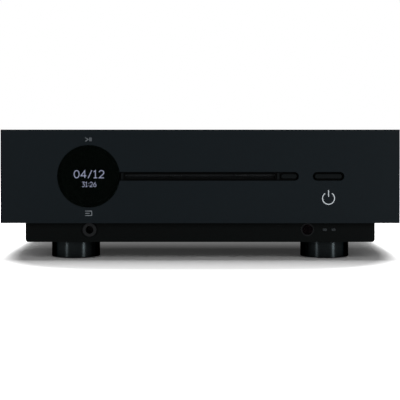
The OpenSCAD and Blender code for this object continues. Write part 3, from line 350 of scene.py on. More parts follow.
class Finishes(Enum):
    """Every finish on the object."""

    # Bead-blasted and black anodised plate: a cool, even near-black that lifts softly towards the light.
    # The blasting is finer than a pixel, so it is drawn coarser to show.
    PANEL = Grained("blasted_black_anodised_aluminium", "#0d1215", "#0a0f12", 0.9, 0.55, 0.05, specular=0.035,
                    bump_mm=0.012, drift_mm=90.0)
    # Powder coat on folded steel: deeper black than the panel, with a fine orange peel.
    CHASSIS = Grained("black_powder_coated_steel", "#060808", "#050606", 1.4, 0.58, 0.08, specular=0.02,
                      bump_mm=0.02, drift_mm=70.0)
    # Extruded and anodised: drawn lines run up each fin and catch the light along it.
    HEATSINK = Grained("extruded_black_anodised_aluminium", "#141618", "#101214", 1.2, 0.45, 0.08,
                       specular=0.2, bump_mm=0.015, drift_mm=60.0, stretch=(1.0, 1.0, 0.02))
    # Coated and tinted glass: near black until the figures behind it light up. Its body colour is partly the
    # glass's own tint and partly a painted reflection, standing in for the reflection that its dark specular
    # tint takes out.
    WINDOW = SmokedGlass("coated_smoked_mineral_glass_painted_reflection", "#030504", "#0b0d0c", 0.02, 0.02)
    # The display's own dark glass: blacker than anything around it.
    DISPLAY = Grained("display_panel_glass", "#020202", "#010101", 2.0, 0.3, 0.04, specular=0.01,
                      bump_mm=0.002, drift_mm=45.0)
    # Lit dots: a cold, faintly violet white.
    DIGITS = LitPixels("lit_display_dots", "#c9d0f0", 30.0)
    # Spark-eroded moulding: dull black with a fine tooth, the deepest black of the front, made darker still
    # as painted shade for the channel round the mouth.
    MOULDING = Grained("spark_eroded_black_abs_painted_shade", "#040505", "#030303", 0.6, 0.62, 0.07, specular=0.01,
                       bump_mm=0.01, drift_mm=30.0)
    # Polished tool, then a light texture: a soft black that shows a thin line of light at each edge.
    BUTTON = Grained("satin_black_abs", "#070a0b", "#050708", 0.5, 0.4, 0.05, specular=0.03, drift_mm=12.0)
    # Short pile: greyer than the moulding around it, because each fibre catches some light.
    FELT = Felt("black_nylon_pile", "#1f2224", "#161819", 0.3)
    # Black feet with fine turning lines around them: each lamp shows as one narrow upright streak.
    FOOT = Grained("turned_black_anodised_aluminium", "#181b1c", "#141718", 0.8, 0.29, 0.02, 1.0,
                   bump_mm=0.001, drift_mm=20.0, stretch=(0.2, 0.2, 1.0), turned=0.9, edge="#000000")
    # Moulded rubber: matt and a little dusty.
    RUBBER = Grained("moulded_black_rubber", "#151515", "#0f0f0f", 0.7, 0.8, 0.08, specular=0.2, bump_mm=0.02,
                     drift_mm=15.0)
    # Black zinc on steel: dark metal that flashes at its rims.
    SCREW = Grained("black_zinc_steel", "#2a2b2c", "#1c1d1e", 0.4, 0.35, 0.08, 0.9, drift_mm=4.0)
    # Solder mask over copper: green with paler runs.
    BOARD = CircuitBoard("solder_masked_board", "#0f3a24", "#24623c")
    # Black nickel: a dark ring with a soft shine.
    JACK = Grained("black_nickel_plate", "#0c0e10", "#090a0b", 0.5, 0.35, 0.06, specular=0.08)
    # Infrared acrylic: black to the eye, with a faint plum cast.
    IR = SmokedGlass("smoked_infrared_acrylic", "#060405", "#151214", 0.01, 0.05)
    # Frosted inside: unlit, it is a grey dot.
    INDICATOR = Grained("frosted_clear_acrylic", "#1e2224", "#16191b", 0.4, 0.3, 0.06, specular=0.1,
                        drift_mm=3.0)
    # Turned and gilded brass: warm, bright rings.
    GILT = Grained("gilt_turned_brass", "#d8b25a", "#b98a35", 0.5, 0.24, 0.06, 1.0, drift_mm=5.0,
                   stretch=(0.3, 1.0, 0.3))
    # Coloured through: a deep signal red with a soft gloss.
    RED = Grained("red_moulded_nylon", "#8c1a18", "#741312", 0.5, 0.36, specular=0.2, bump_mm=0.006,
                  drift_mm=8.0)
    # The same moulding in black.
    BLACK = Grained("black_moulded_nylon", "#161616", "#101010", 0.5, 0.36, specular=0.2, bump_mm=0.006,
                    drift_mm=8.0)
    # The same moulding in white, a little warm.
    WHITE = Grained("white_moulded_nylon", "#cfccc4", "#bfbbb2", 0.5, 0.4, bump_mm=0.006, drift_mm=8.0)
    # Socket bodies: duller black with a moulded tooth.
    SOCKET = Grained("black_moulded_socket_plastic", "#151617", "#101112", 0.6, 0.5, 0.07, specular=0.15,
                     bump_mm=0.008, drift_mm=12.0)
    # Bright tin: a cool mirror with fine scratches.
    TIN = Grained("tin_plated_steel", "#b9bcbe", "#9fa2a5", 0.6, 0.3, 0.08, 1.0)
    # Zinc-plated sheet: pale grey with a rolled grain.
    ZINC = Grained("zinc_plated_rolled_steel", "#a9aeb1", "#8f9498", 1.2, 0.4, 0.1, 1.0, bump_mm=0.006,
                   drift_mm=25.0, stretch=(1.0, 0.05, 1.0))
    # Deep-drawn can: smooth grey steel.
    MOTOR = Grained("drawn_steel_can", "#b4b7ba", "#9a9da0", 0.8, 0.32, 0.08, 1.0, drift_mm=12.0)
    # Ground rod: the brightest metal inside.
    GROUND = Grained("ground_steel", "#c9ccd0", "#b3b6ba", 0.4, 0.16, 0.05, 1.0, bump_mm=0.002, drift_mm=10.0,
                     stretch=(1.0, 0.1, 1.0))
    # Natural acetal: a milky, waxy white.
    PALE = Grained("natural_acetal", "#d9d4c6", "#c9c3b3", 0.6, 0.45, bump_mm=0.006, drift_mm=10.0)
    # Glass-filled nylon: dark grey with a fibrous tooth.
    DARK = Grained("dark_glass_filled_nylon", "#2b2e30", "#212426", 0.6, 0.5, 0.08, specular=0.2,
                   bump_mm=0.01, drift_mm=10.0)
    # Varnished winding: brown copper wire in upright turns.
    WINDING = Grained("varnished_copper_winding", "#7a4a22", "#5a3418", 1.0, 0.35, 0.08, 0.3, bump_mm=0.05,
                      drift_mm=14.0, stretch=(1.0, 1.0, 0.1))
    # Shrunk sleeve: dark blue with a tight gloss.
    SLEEVE = Grained("shrunk_pvc_sleeve", "#14202a", "#0f1820", 0.7, 0.3, bump_mm=0.006, drift_mm=12.0)
    # Screen print on the plate: a dim grey that only just reads.
    INK = Grained("pale_screen_printed_ink", "#6a6f74", "#585d61", 0.4, 0.6, specular=0.3)
    # Pad print on the rear: a clear white.
    PRINT = Grained("white_pad_printed_ink", "#b9bcbd", "#a9acad", 0.4, 0.6, specular=0.3)
    # Inlaid mark: satin silver.
    SILVER = Grained("satin_silver_inlay", "#9da2a6", "#8b9094", 0.4, 0.4, 0.08, 0.6)
    # Studio paper: white, with the object's shadow on it, lightened and cut off at its ends by a painted
    # glow.
    PAPER = FloorPaper("white_studio_paper", "#f7f7f7", least=0.03, near_mm=205.0, far_mm=600.0,
                       rear_mm=-60.0, wall_mm=400.0, patch_mm=(167.0, 235.0), patch_edge=(0.9, 1.03))


def soften(node: str, width_mm: float, segments: int = 2) -> None:
    """Break the sharp edges of a solid, as a deburred or moulded piece has them.

    Args:
        node: The solid's node.
        width_mm: Width of the broken edge.
        segments: Steps across the edge.
    """
    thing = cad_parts[node]
    weld = thing.modifiers.new("joined_faces", "WELD")
    weld.merge_threshold = JOIN_GAP
    edge = thing.modifiers.new("broken_edges", "BEVEL")
    edge.width = width_mm * MM
    edge.segments = segments
    edge.limit_method = "ANGLE"
    edge.angle_limit = EDGE_ANGLE
    edge.harden_normals = False
    shade = thing.modifiers.new("even_shading", "WEIGHTED_NORMAL")
    shade.keep_sharp = True


def dress(node: str, finish: Finishes, edge_mm: float = 0.0) -> None:
    """Give a solid its finish.

    Args:
        node: The solid's node.
        finish: The finish that it gets.
        edge_mm: Width of its broken edges, or 0 for none.
    """
    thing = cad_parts[node]
    thing.data.materials.clear()
    thing.data.materials.append(finish.value.material())
    if edge_mm:
        soften(node, edge_mm)
    LOG.info("dressed %s in %s", node, finish.value.name)


def add_piece(name: str, shape: Shape, finish: Finishes, body: str,
              smooth: bool = False) -> bpy.types.Object:
    """Turn a built shape into a piece that rides on a body.

    Args:
        name: Name of the piece.
        shape: Its mesh, in the object's frame. It is freed here.
        finish: Its finish.
        body: The body that it rides on.
        smooth: Whether its faces are shaded smooth, apart from sharp edges.

    Returns:
        The new object.
    """
    bmesh.ops.recalc_face_normals(shape, faces=shape.faces)
    mesh = bpy.data.meshes.new(name)
    shape.to_mesh(mesh)
    shape.free()
    mesh.materials.append(finish.value.material())
    if smooth:
        mesh.shade_smooth()
        mesh.set_sharp_from_angle(angle=CREASE_ANGLE)
    thing = bpy.data.objects.new(name, mesh)
    bpy.context.scene.collection.objects.link(thing)
    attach(thing, body)
    LOG.info("made %s with %d faces", name, len(mesh.polygons))
    return thing


def lathe(shape: Shape, profile: Sequence[Point], place: Vector, turn: Matrix,
          steps: int = 96) -> None:
    """Turn a profile about its axis, and close it where it ends on itself.

    Args:
        shape: The mesh that gets the faces.
        profile: Radius and height of each point, from one end of the axis to the other.
        place: Where the axis starts.
        turn: The turn that points +Z along the axis.
        steps: Faces around the axis.
    """
    rings = []
    for radius, height in profile:
        if radius == 0:
            rings.append([shape.verts.new(place + turn @ Vector((0, 0, height)))] * steps)
            continue
        spots = [Vector((*point, height)) for point in arc((0, 0), radius, 0, 360, steps)[:-1]]
        rings.append([shape.verts.new(place + turn @ spot) for spot in spots])
    for low, high in zip(rings, rings[1:]):
        for i in range(steps):
            j = (i + 1) % steps
            corners = dict.fromkeys((low[i], low[j], high[j], high[i]))
            if len(corners) > 2:
                shape.faces.new(list(corners))
    bmesh.ops.remove_doubles(shape, verts=shape.verts, dist=SEAM_GAP)


def plate(shape: Shape, outline: Sequence[Point], front: float, depth: float,
          turn: Matrix = UPRIGHT) -> None:
    """Make a flat plate that faces the front.

    Args:
        shape: The mesh that gets the faces.
        outline: The plate's corners across and up, in order.
        front: Where its face lies along Y.
        depth: How thick it is.
        turn: A turn and shift of the whole plate.
    """
    near = [shape.verts.new(turn @ Vector((x, front, z))) for x, z in outline]
    far = [shape.verts.new(turn @ Vector((x, front + depth, z))) for x, z in outline]
    shape.faces.new(near)
    shape.faces.new(far[::-1])
    for i in range(len(outline)):
        j = (i + 1) % len(outline)
        shape.faces.new((near[i], far[i], far[j], near[j]))


def ribbon(path: Sequence[Point], width: float) -> list[list[Point]]:
    """Outline a stroke that follows a path, in one four-cornered shape for each step, mitred at the joints.

    Args:
        path: Middle line of the stroke.
        width: Width of the stroke.

    Returns:
        The corners of each shape.
    """
    points = [Vector(p) for p in path]
    ways = [(b - a).normalized() for a, b in zip(points, points[1:])]
    edges = []
    for i, point in enumerate(points):
        before, after = ways[max(i - 1, 0)], ways[min(i, len(ways) - 1)]
        along = (before + after).normalized()
        across = Vector((-along.y, along.x)) * width / 2 / max(along.dot(after), MITRE_LEAST)
        edges.append((tuple(point + across), tuple(point - across)))
    return [[a[0], a[1], b[1], b[0]] for a, b in zip(edges, edges[1:])]


def arc(centre: Point, radius: float, first: float, last: float, steps: int,
        tall: float = 1.0) -> list[Point]:
    """Points on a circle or an upright oval.

    Args:
        centre: Its middle.
        radius: Its radius across.
        first: Angle of the first point, in degrees.
        last: Angle of the last point, in degrees.
        steps: Number of steps between them.
        tall: Its height over its width.

    Returns:
        The points in order.
    """
    angles = [math.radians(first + (last - first) * i / steps) for i in range(steps + 1)]
    return [(centre[0] + radius * math.cos(a), centre[1] + tall * radius * math.sin(a)) for a in angles]


def ring_profile(inner: float, outer: float, proud: float, edge: float) -> list[Point]:
    """Outline a flat ring with broken edges on its face, for the lathe.

    Args:
        inner: Radius of its hole.
        outer: Its own radius.
        proud: How far its face stands out.
        edge: Width of its broken edges.

    Returns:
        Radius and height of each point, back to the first one.
    """
    top = proud - edge
    return [(inner, 0), (outer, 0), (outer, top), (outer - edge, proud), (inner + edge, proud), (inner, top),
            (inner, 0)]


def oblong(low: Point, high: Point) -> list[Point]:
    """Give the corners of an upright rectangle, in order, from two that face each other."""
    return [low, (high[0], low[1]), high, (low[0], high[1])]


def middle_of(node: str) -> Vector:
    """Find the middle of a solid's box."""
    low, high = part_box(node)
    return (low + high) / 2


# Plain figures in single strokes: the width of each one, and its paths, in a box one unit tall.
FIGURES: dict[str, tuple[float, list[list[Point]]]] = {
    "0": (0.60, [arc((0.30, 0.50), 0.30, 90, 450, 32, 1.667)]),
    "1": (0.42, [[(0.00, 0.80), (0.21, 1.00), (0.21, 0.00)], [(0.00, 0.00), (0.42, 0.00)]]),
    "2": (0.60, [arc((0.29, 0.71), 0.29, 165, -40, 18) + [(0.02, 0.00), (0.60, 0.00)]]),
    "3": (0.58, [[(0.03, 1.00), (0.55, 1.00), (0.28, 0.61)] + arc((0.27, 0.305), 0.305, 80, -140, 20)]),
    "4": (0.64, [[(0.46, 0.00), (0.46, 1.00), (0.00, 0.28), (0.64, 0.28)]]),
    "6": (0.60, [arc((0.30, 0.31), 0.30, 90, 450, 28, 1.033), [(0.45, 1.00), (0.06, 0.46)]]),
    "/": (0.44, [[(0.00, -0.04), (0.44, 1.04)]]),
    ":": (0.12, [[(0.06, 0.16), (0.06, 0.28)], [(0.06, 0.62), (0.06, 0.74)]]),
}


def figures(text: str, middle: Point, size: Point, stroke: float) -> list[list[Point]]:
    """Outline a line of plain figures that fills a box.

    Args:
        text: The figures.
        middle: Middle of the box.
        size: Its width and height.
        stroke: Width of the strokes.

    Returns:
        The outlines of all the strokes.
    """
    total = sum(FIGURES[figure][0] for figure in text) + FIGURE_GAP * (len(text) - 1)
    wide, tall = (size[0] - stroke) / total, size[1] - stroke
    left, foot = middle[0] - total * wide / 2, middle[1] - tall / 2
    outlines: list[list[Point]] = []
    start = 0.0
    for figure in text:
        width, paths = FIGURES[figure]
        for path in paths:
            outlines += ribbon([(left + (start + x) * wide, foot + y * tall) for x, y in path], stroke)
        start += width + FIGURE_GAP
    return outlines


class Reach(Enum):
    """What a lamp lights, and the link state that keeps it to that."""

    ALL = None
    OBJECT = "EXCLUDE"
    FLOOR = "INCLUDE"


@dataclass(frozen=True)
class Lamp:
    """One soft rectangular lamp, in metres and watts."""

    name: str
    place: tuple[float, float, float]
    target: tuple[float, float, float]
    size: Point
    power: float
    reach: Reach = Reach.ALL

    def hang(self, floor: bpy.types.Object) -> None:
        """Hang the lamp and turn it to its target.

        Args:
            floor: The floor, which the lamp lights, spares or lights alone.
        """
        data = bpy.data.lights.new(self.name, "AREA")
        data.shape = "RECTANGLE"
        data.size, data.size_y = self.size
        data.energy = self.power
        lamp = bpy.data.objects.new(self.name, data)
        lamp.location = self.place
        lamp.rotation_euler = (Vector(self.target) - Vector(self.place)).to_track_quat("-Z", "Y").to_euler()
        bpy.context.scene.collection.objects.link(lamp)
        if self.reach is not Reach.ALL:
            linked = bpy.data.collections.new(self.name + "_reach")
            linked.objects.link(floor)
            lamp.light_linking.receiver_collection = linked
            linked.collection_objects[0].light_linking.link_state = self.reach.value


@dataclass
class Studio:
    """Floor, background, lamps and camera."""

    camera_gap: float = 0.900
    camera_height: float = 0.095
    panel_px: float = 399.3
    panel_width: float = 0.320
    frame_px: float = 400.0
    horizon_px: float = 142.05
    middle_px: float = 200.16
    sensor_mm: float = 36.0
    fill: float = 0.18
    floor_radius: float = 3.0
    floor_drop: float = 0.2 * MM
    floor_steps: int = 64
    lamps: tuple[Lamp, ...] = (
        Lamp("overhead_softbox", (0.0, 0.25, 1.5), (0.0, 0.25, 0.0), (0.15, 1.4), 20.0),
        Lamp("front_softbox", (0.0, -1.8, 0.9), (0.0, -0.16, 0.0), (0.8, 0.7), 7.5, Reach.FLOOR),
        Lamp("left_strip", (-1.6, -2.0, 0.45), (0.0, -0.16, 0.05), (0.3, 0.8), 21.0, Reach.OBJECT),
        Lamp("right_strip", (0.95, -1.25, 0.32), (0.0, -0.16, 0.05), (0.22, 0.6), 16.0, Reach.OBJECT),
    )

    def build(self) -> None:
        """Set up everything around the object."""
        bpy.context.scene.view_settings.view_transform = "Standard"
        floor = self.floor()
        self.background()
        for lamp in self.lamps:
            lamp.hang(floor)
        self.camera()

    def floor(self) -> bpy.types.Object:
        """Lay a wide sheet of white paper under the object.

        Returns:
            The sheet.
        """
        shape = bmesh.new()
        lathe(shape, ((0, 0), (self.floor_radius, 0)), Vector((0, 0, -self.floor_drop)), Matrix.Identity(3),
              self.floor_steps)
        mesh = bpy.data.meshes.new("floor")
        shape.to_mesh(mesh)
        shape.free()
        mesh.materials.append(Finishes.PAPER.value.material())
        floor = bpy.data.objects.new("floor", mesh)
        bpy.context.scene.collection.objects.link(floor)
        return floor

    def background(self) -> None:
        """White where it is seen, mirrored or looked at through glass, and dim where it only lights."""
        world = bpy.data.worlds.new("studio")
        bpy.context.scene.world = world
        world.use_nodes = True
        tree = world.node_tree
        tree.nodes.clear()
        level = add_node(tree, "MapRange", {"To Min": self.fill, "To Max": 1.0},
                         {"Value": background_ray(tree)})
        light = add_node(tree, "Background", {"Color": linear("#ffffff")}, {"Strength": level})
        add_node(tree, "OutputWorld", links={"Surface": light})

    def camera(self) -> None:
        """Look straight at the panel from a little above its middle, shifted as the photograph is framed."""
        data = bpy.data.cameras.new("camera")
        data.sensor_width = self.sensor_mm
        scale = self.panel_width / self.panel_px
        data.lens = self.sensor_mm * self.camera_gap / (scale * self.frame_px)
        data.shift_x = (self.frame_px / 2 - self.middle_px) / self.frame_px
        data.shift_y = (self.horizon_px - self.frame_px / 2) / self.frame_px
        camera = bpy.data.objects.new("camera", data)
        camera.location = (0.0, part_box("front_panel")[0].y - self.camera_gap, self.camera_height)
        camera.rotation_euler = (math.pi / 2, 0.0, 0.0)
        bpy.context.scene.collection.objects.link(camera)
        bpy.context.scene.camera = camera


@dataclass
class FrontPanel:
    """The thick plate with its printed marks."""

    edge_mm: float = 0.25
    ink_depth: float = 0.01 * MM
    mark_width: float = 5.2 * MM
    play_height: float = 3.0 * MM
    play_tip: float = 2.4 * MM
    input_height: float = 3.6 * MM
    input_reach: float = 3.5 * MM
    mark_gap: float = 29.6 * MM
    stroke: float = 0.5 * MM
    play_stroke: float = 0.42 * MM
    bar_pitch: float = 1.0 * MM
    standby_radius: float = 4.8 * MM
    standby_stroke: float = 0.75 * MM
    standby_drop: float = 17.6 * MM
    standby_open: Point = (125.0, 415.0)
    standby_stem: Point = (1.3 * MM, 6.5 * MM)

    def build(self) -> None:
        """Dress the plate and print on it."""
        dress("front_panel", Finishes.PANEL, self.edge_mm)
        middle = middle_of("display_window")
        self.play_mark((middle.x, middle.z + self.mark_gap))
        self.input_mark((middle.x, middle.z - self.mark_gap))
        button = middle_of("standby_button")
        self.standby_mark((button.x, button.z - self.standby_drop))

    def print_mark(self, name: str, outlines: Sequence[Sequence[Point]], finish: Finishes) -> None:
        """Print one mark on the plate.

        Args:
            name: Name of the mark.
            outlines: Its flat shapes.
            finish: Its ink.
        """
        shape = bmesh.new()
        for outline in outlines:
            plate(shape, outline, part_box("front_panel")[0].y - self.ink_depth, 2 * self.ink_depth)
        add_piece(name, shape, finish, "case")

    def play_mark(self, middle: Point) -> None:
        """Play and pause: an open arrow head and two bars.

        Args:
            middle: Middle of the mark.
        """
        x, z = middle
        left, right, half = x - self.mark_width / 2, x + self.mark_width / 2, self.play_height / 2
        strokes = ribbon([(left, z + half), (left + self.play_tip, z), (left, z - half)], self.play_stroke)
        for place in (right - 1.5 * self.bar_pitch, right - 0.5 * self.bar_pitch):
            strokes += ribbon([(place, z - half), (place, z + half)], self.play_stroke)
        self.print_mark("play_pause_mark", strokes, Finishes.INK)

    def input_mark(self, middle: Point) -> None:
        """Input choice: an open box with a bar that enters it.

        Args:
            middle: Middle of the mark.
        """
        x, z = middle
        left, right, half = x - self.mark_width / 2, x + self.mark_width / 2, self.input_height / 2
        box = [(left, z + half), (right, z + half), (right, z - half), (left, z - half)]
        strokes = ribbon(box, self.stroke)
        strokes += ribbon([(left, z), (left + self.input_reach, z)], self.stroke)
        self.print_mark("input_mark", strokes, Finishes.INK)

    def standby_mark(self, middle: Point) -> None:
        """Standby: a ring that is open at its top, with a bar in the gap.

        Args:
            middle: Middle of the ring.
        """
        strokes = ribbon(arc(middle, self.standby_radius, *self.standby_open, 40), self.standby_stroke)
        strokes += ribbon([(middle[0], middle[1] + rise) for rise in self.standby_stem], self.standby_stroke)
        self.print_mark("standby_mark", strokes, Finishes.SILVER)


@dataclass
class Display:
    """The round smoked window and the lit figures behind it."""

    track: str = "04/12"
    time: str = "31:26"
    track_size: Point = (24.7 * MM, 6.5 * MM)
    time_size: Point = (11.8 * MM, 4.2 * MM)
    track_rise: float = 1.6 * MM
    time_rise: float = -6.6 * MM
    track_stroke: float = 0.62 * MM
    time_stroke: float = 0.42 * MM
    lit_depth: float = 0.05 * MM

    def build(self) -> None:
        """Dress the window and its display and light the figures."""
        dress("display_window", Finishes.WINDOW)
        dress("display_module", Finishes.DISPLAY)
        middle = middle_of("display_window")
        track, time = (middle.x, middle.z + self.track_rise), (middle.x, middle.z + self.time_rise)
        self.light("track_figures", figures(self.track, track, self.track_size, self.track_stroke))
        self.light("time_figures", figures(self.time, time, self.time_size, self.time_stroke))

    def light(self, name: str, outlines: Sequence[Sequence[Point]]) -> None:
        """Light one line of figures on the display's face.

        Args:
            name: Name of the piece.
            outlines: The strokes of the figures.
        """
        shape = bmesh.new()
        for outline in outlines:
            plate(shape, outline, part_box("display_module")[0].y - self.lit_depth, self.lit_depth)
        add_piece(name, shape, Finishes.DIGITS, "case")


@dataclass
class Slot:
    """The disc mouth with its dust pile, and the two buttons."""

    upper_pile: float = 2.6 * MM
    lower_pile: float = 0.7 * MM
    length_share: Point = (0.85, 1.05)
    holder: float = 1.0 * MM
    holder_lip: float = 0.3 * MM
    lean: float = 0.3 * MM
    fibre_width: float = 0.16 * MM
    fibres_per_mm: float = 7.0
    rows: int = 4
    rib_half: float = 1.0 * MM
    rib_rise: float = 2.6 * MM
    rib_gap: float = 2.2 * MM
    rib_proud: float = 0.9 * MM
    rib_edge: float = 0.2 * MM
    moulding_edge_mm: float = 0.15
    button_edge_mm: float = 0.3

    def build(self) -> None:
        """Dress the moulding and the buttons, and plant the pile."""
        dress("slot_bezel", Finishes.MOULDING, self.moulding_edge_mm)
        for node in ("eject_button", "standby_button"):
            dress(node, Finishes.BUTTON, self.button_edge_mm)
        dress("key_board", Finishes.BOARD)
        self.holders()
        self.pile()
        self.ribs()

    def holders(self) -> None:
        """Moulded strips, lipped at the front, that grip the roots of the pile; their dark lips also serve as
        painted shade along the top and bottom of the channel.
        """
        low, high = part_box("mouth_felts")
        deep = high.y - low.y
        shape = bmesh.new()
        for side in (-1, 1):
            root = low.z if side < 0 else high.z
            edge, lip = root - side * self.holder, root - side * (self.holder + self.holder_lip)
            plate(shape, oblong((low.x, root), (high.x, edge)), low.y, deep)
            plate(shape, oblong((low.x, root), (high.x, lip)), low.y - self.holder_lip, self.holder_lip)
        holders = add_piece("pile_holders_and_painted_shade", shape, Finishes.MOULDING, "case")
        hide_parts("mouth_felts")

    def ribs(self) -> None:
        """Narrow upright ribs of the moulding at both ends of the mouth."""
        low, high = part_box("mouth_felts")
        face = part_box("slot_bezel")[0].y
        middle = (low.z + high.z) / 2
        shape = bmesh.new()
        for end in (low.x - self.rib_gap, high.x + self.rib_gap):
            for inset, proud in ((0.0, self.rib_proud - self.rib_edge), (self.rib_edge, self.rib_proud)):
                half, rise = self.rib_half - inset, self.rib_rise - inset
                outline = oblong((end - half, middle - rise), (end + half, middle + rise))
                plate(shape, outline, face - proud, proud)
        add_piece("mouth_ribs", shape, Finishes.BUTTON, "case")

    def pile(self) -> None:
        """Rows of short fibres that lean a little, from both sides of the mouth."""
        low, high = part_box("mouth_felts")
        draw = random.Random(PIECE_SEED)
        shape = bmesh.new()
        for side in (-1, 1):
            root = low.z if side < 0 else high.z
            edge = root - side * self.holder
            count = int((high.x - low.x) / MM * self.fibres_per_mm)
            for row in range(self.rows):
                y = low.y + (row + 0.5) * (high.y - low.y) / self.rows
                for i in range(count):
                    x = low.x + (i + draw.random()) * (high.x - low.x) / count
                    self.fibre(shape, Vector((x, y + draw.uniform(-1, 1) * self.lean, edge)), side, draw)
        pile = add_piece("dust_pile", shape, Finishes.FELT, "case")
        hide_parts("mouth_felts")

    def fibre(self, shape: Shape, root: Vector, side: int, draw: random.Random) -> None:
        """Plant one three-sided fibre.

        Args:
            shape: The mesh that gets it.
            root: Where it grows from.
            side: 1 where it hangs down, -1 where it stands up.
            draw: The source of its lean and length.
        """
        length = (self.upper_pile if side > 0 else self.lower_pile) * draw.uniform(*self.length_share)
        lean_x, lean_y = draw.uniform(-1, 1) * self.lean, draw.uniform(-1, 1) * self.lean
        tip = root + Vector((lean_x, lean_y, -side * length))
        ring = arc((root.x, root.y), self.fibre_width / 2, 0, 240, 2)
        verts = [shape.verts.new((*point, root.z)) for point in ring]
        peak = shape.verts.new(tip)
        shape.faces.new(verts)
        for i in range(3):
            shape.faces.new((verts[i], verts[(i + 1) % 3], peak))


@dataclass
class LowerFront:
    """Headphone socket, infrared window and indicator lights in the chassis front."""

    edge_mm: float = 0.15
    jack_edge_mm: float = 0.3
    rim_inner: float = 4.4 * MM
    rim_outer: float = 5.2 * MM
    rim_proud: float = 0.4 * MM
    rim_edge: float = 0.12 * MM

    def build(self) -> None:
        """Dress the pieces of the lower front."""
        dress("headphone_jack", Finishes.JACK, self.jack_edge_mm)
        dress("ir_window", Finishes.IR, self.edge_mm)
        dress("status_lights", Finishes.INDICATOR, self.edge_mm)
        dress("front_board", Finishes.BOARD)
        self.rim()

    def rim(self) -> None:
        """Press a thin moulded rim around the infrared window."""
        middle = middle_of("ir_window")
        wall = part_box("base_tray")[0].y
        profile = ring_profile(self.rim_inner, self.rim_outer, self.rim_proud, self.rim_edge)
        shape = bmesh.new()
        lathe(shape, profile, Vector((middle.x, wall, middle.z)), TO_FRONT)
        add_piece("infrared_rim", shape, Finishes.JACK, "case", smooth=True)


@dataclass
class Case:
    """The chassis, its cover, heatsinks, feet and screws."""

    foot_edge: float = 0.6 * MM
    foot_crown: float = 0.4 * MM
    foot_wall: float = 3.3 * MM
    foot_lead: float = 0.3 * MM
    foot_bore: float = 4.2 * MM
    foot_steps: int = 128
    tray_edge_mm: float = 0.25
    shell_edge_mm: float = 0.3
    fin_edge_mm: float = 0.25
    pad_edge_mm: float = 0.4
    screw_edge_mm: float = 0.15

    def build(self) -> None:
        """Dress the shells and turn the feet."""
        dress("base_tray", Finishes.CHASSIS, self.tray_edge_mm)
        for node in ("top_cover", "rear_panel"):
            dress(node, Finishes.CHASSIS, self.shell_edge_mm)
        for node in ("left_heatsink", "right_heatsink"):
            dress(node, Finishes.HEATSINK, self.fin_edge_mm)
        for node in ("foot_front_left", "foot_front_right", "foot_rear_left", "foot_rear_right"):
            self.foot(node)
        dress("foot_pads", Finishes.RUBBER, self.pad_edge_mm)
        dress("screws", Finishes.SCREW, self.screw_edge_mm)

    def foot(self, node: str) -> None:
        """Turn one foot with a rounded lower rim and a hollow for its pad.

        Args:
            node: The foot's solid, which the turned piece replaces.
        """
        low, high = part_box(node)
        middle = (low + high) / 2
        radius = (high.x - low.x) / 2
        recess = radius - self.foot_wall
        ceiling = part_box("foot_pads")[1].z - low.z
        tall = high.z - low.z
        rim = arc((radius - self.foot_edge, self.foot_edge), self.foot_edge, -90, 0, 8)
        crown = arc((radius - self.foot_crown, tall - self.foot_crown), self.foot_crown, 0, 90, 4)
        hollow = [(self.foot_bore, ceiling), (recess, ceiling), (recess, self.foot_lead),
                  (recess + self.foot_lead, 0)]
        profile = hollow + rim + crown + [(self.foot_bore, tall), hollow[0]]
        shape = bmesh.new()
        lathe(shape, profile, Vector((middle.x, middle.y, low.z)), Matrix.Identity(3), self.foot_steps)
        foot = add_piece("turned_" + node, shape, Finishes.FOOT, "case", smooth=True)
        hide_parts(node)


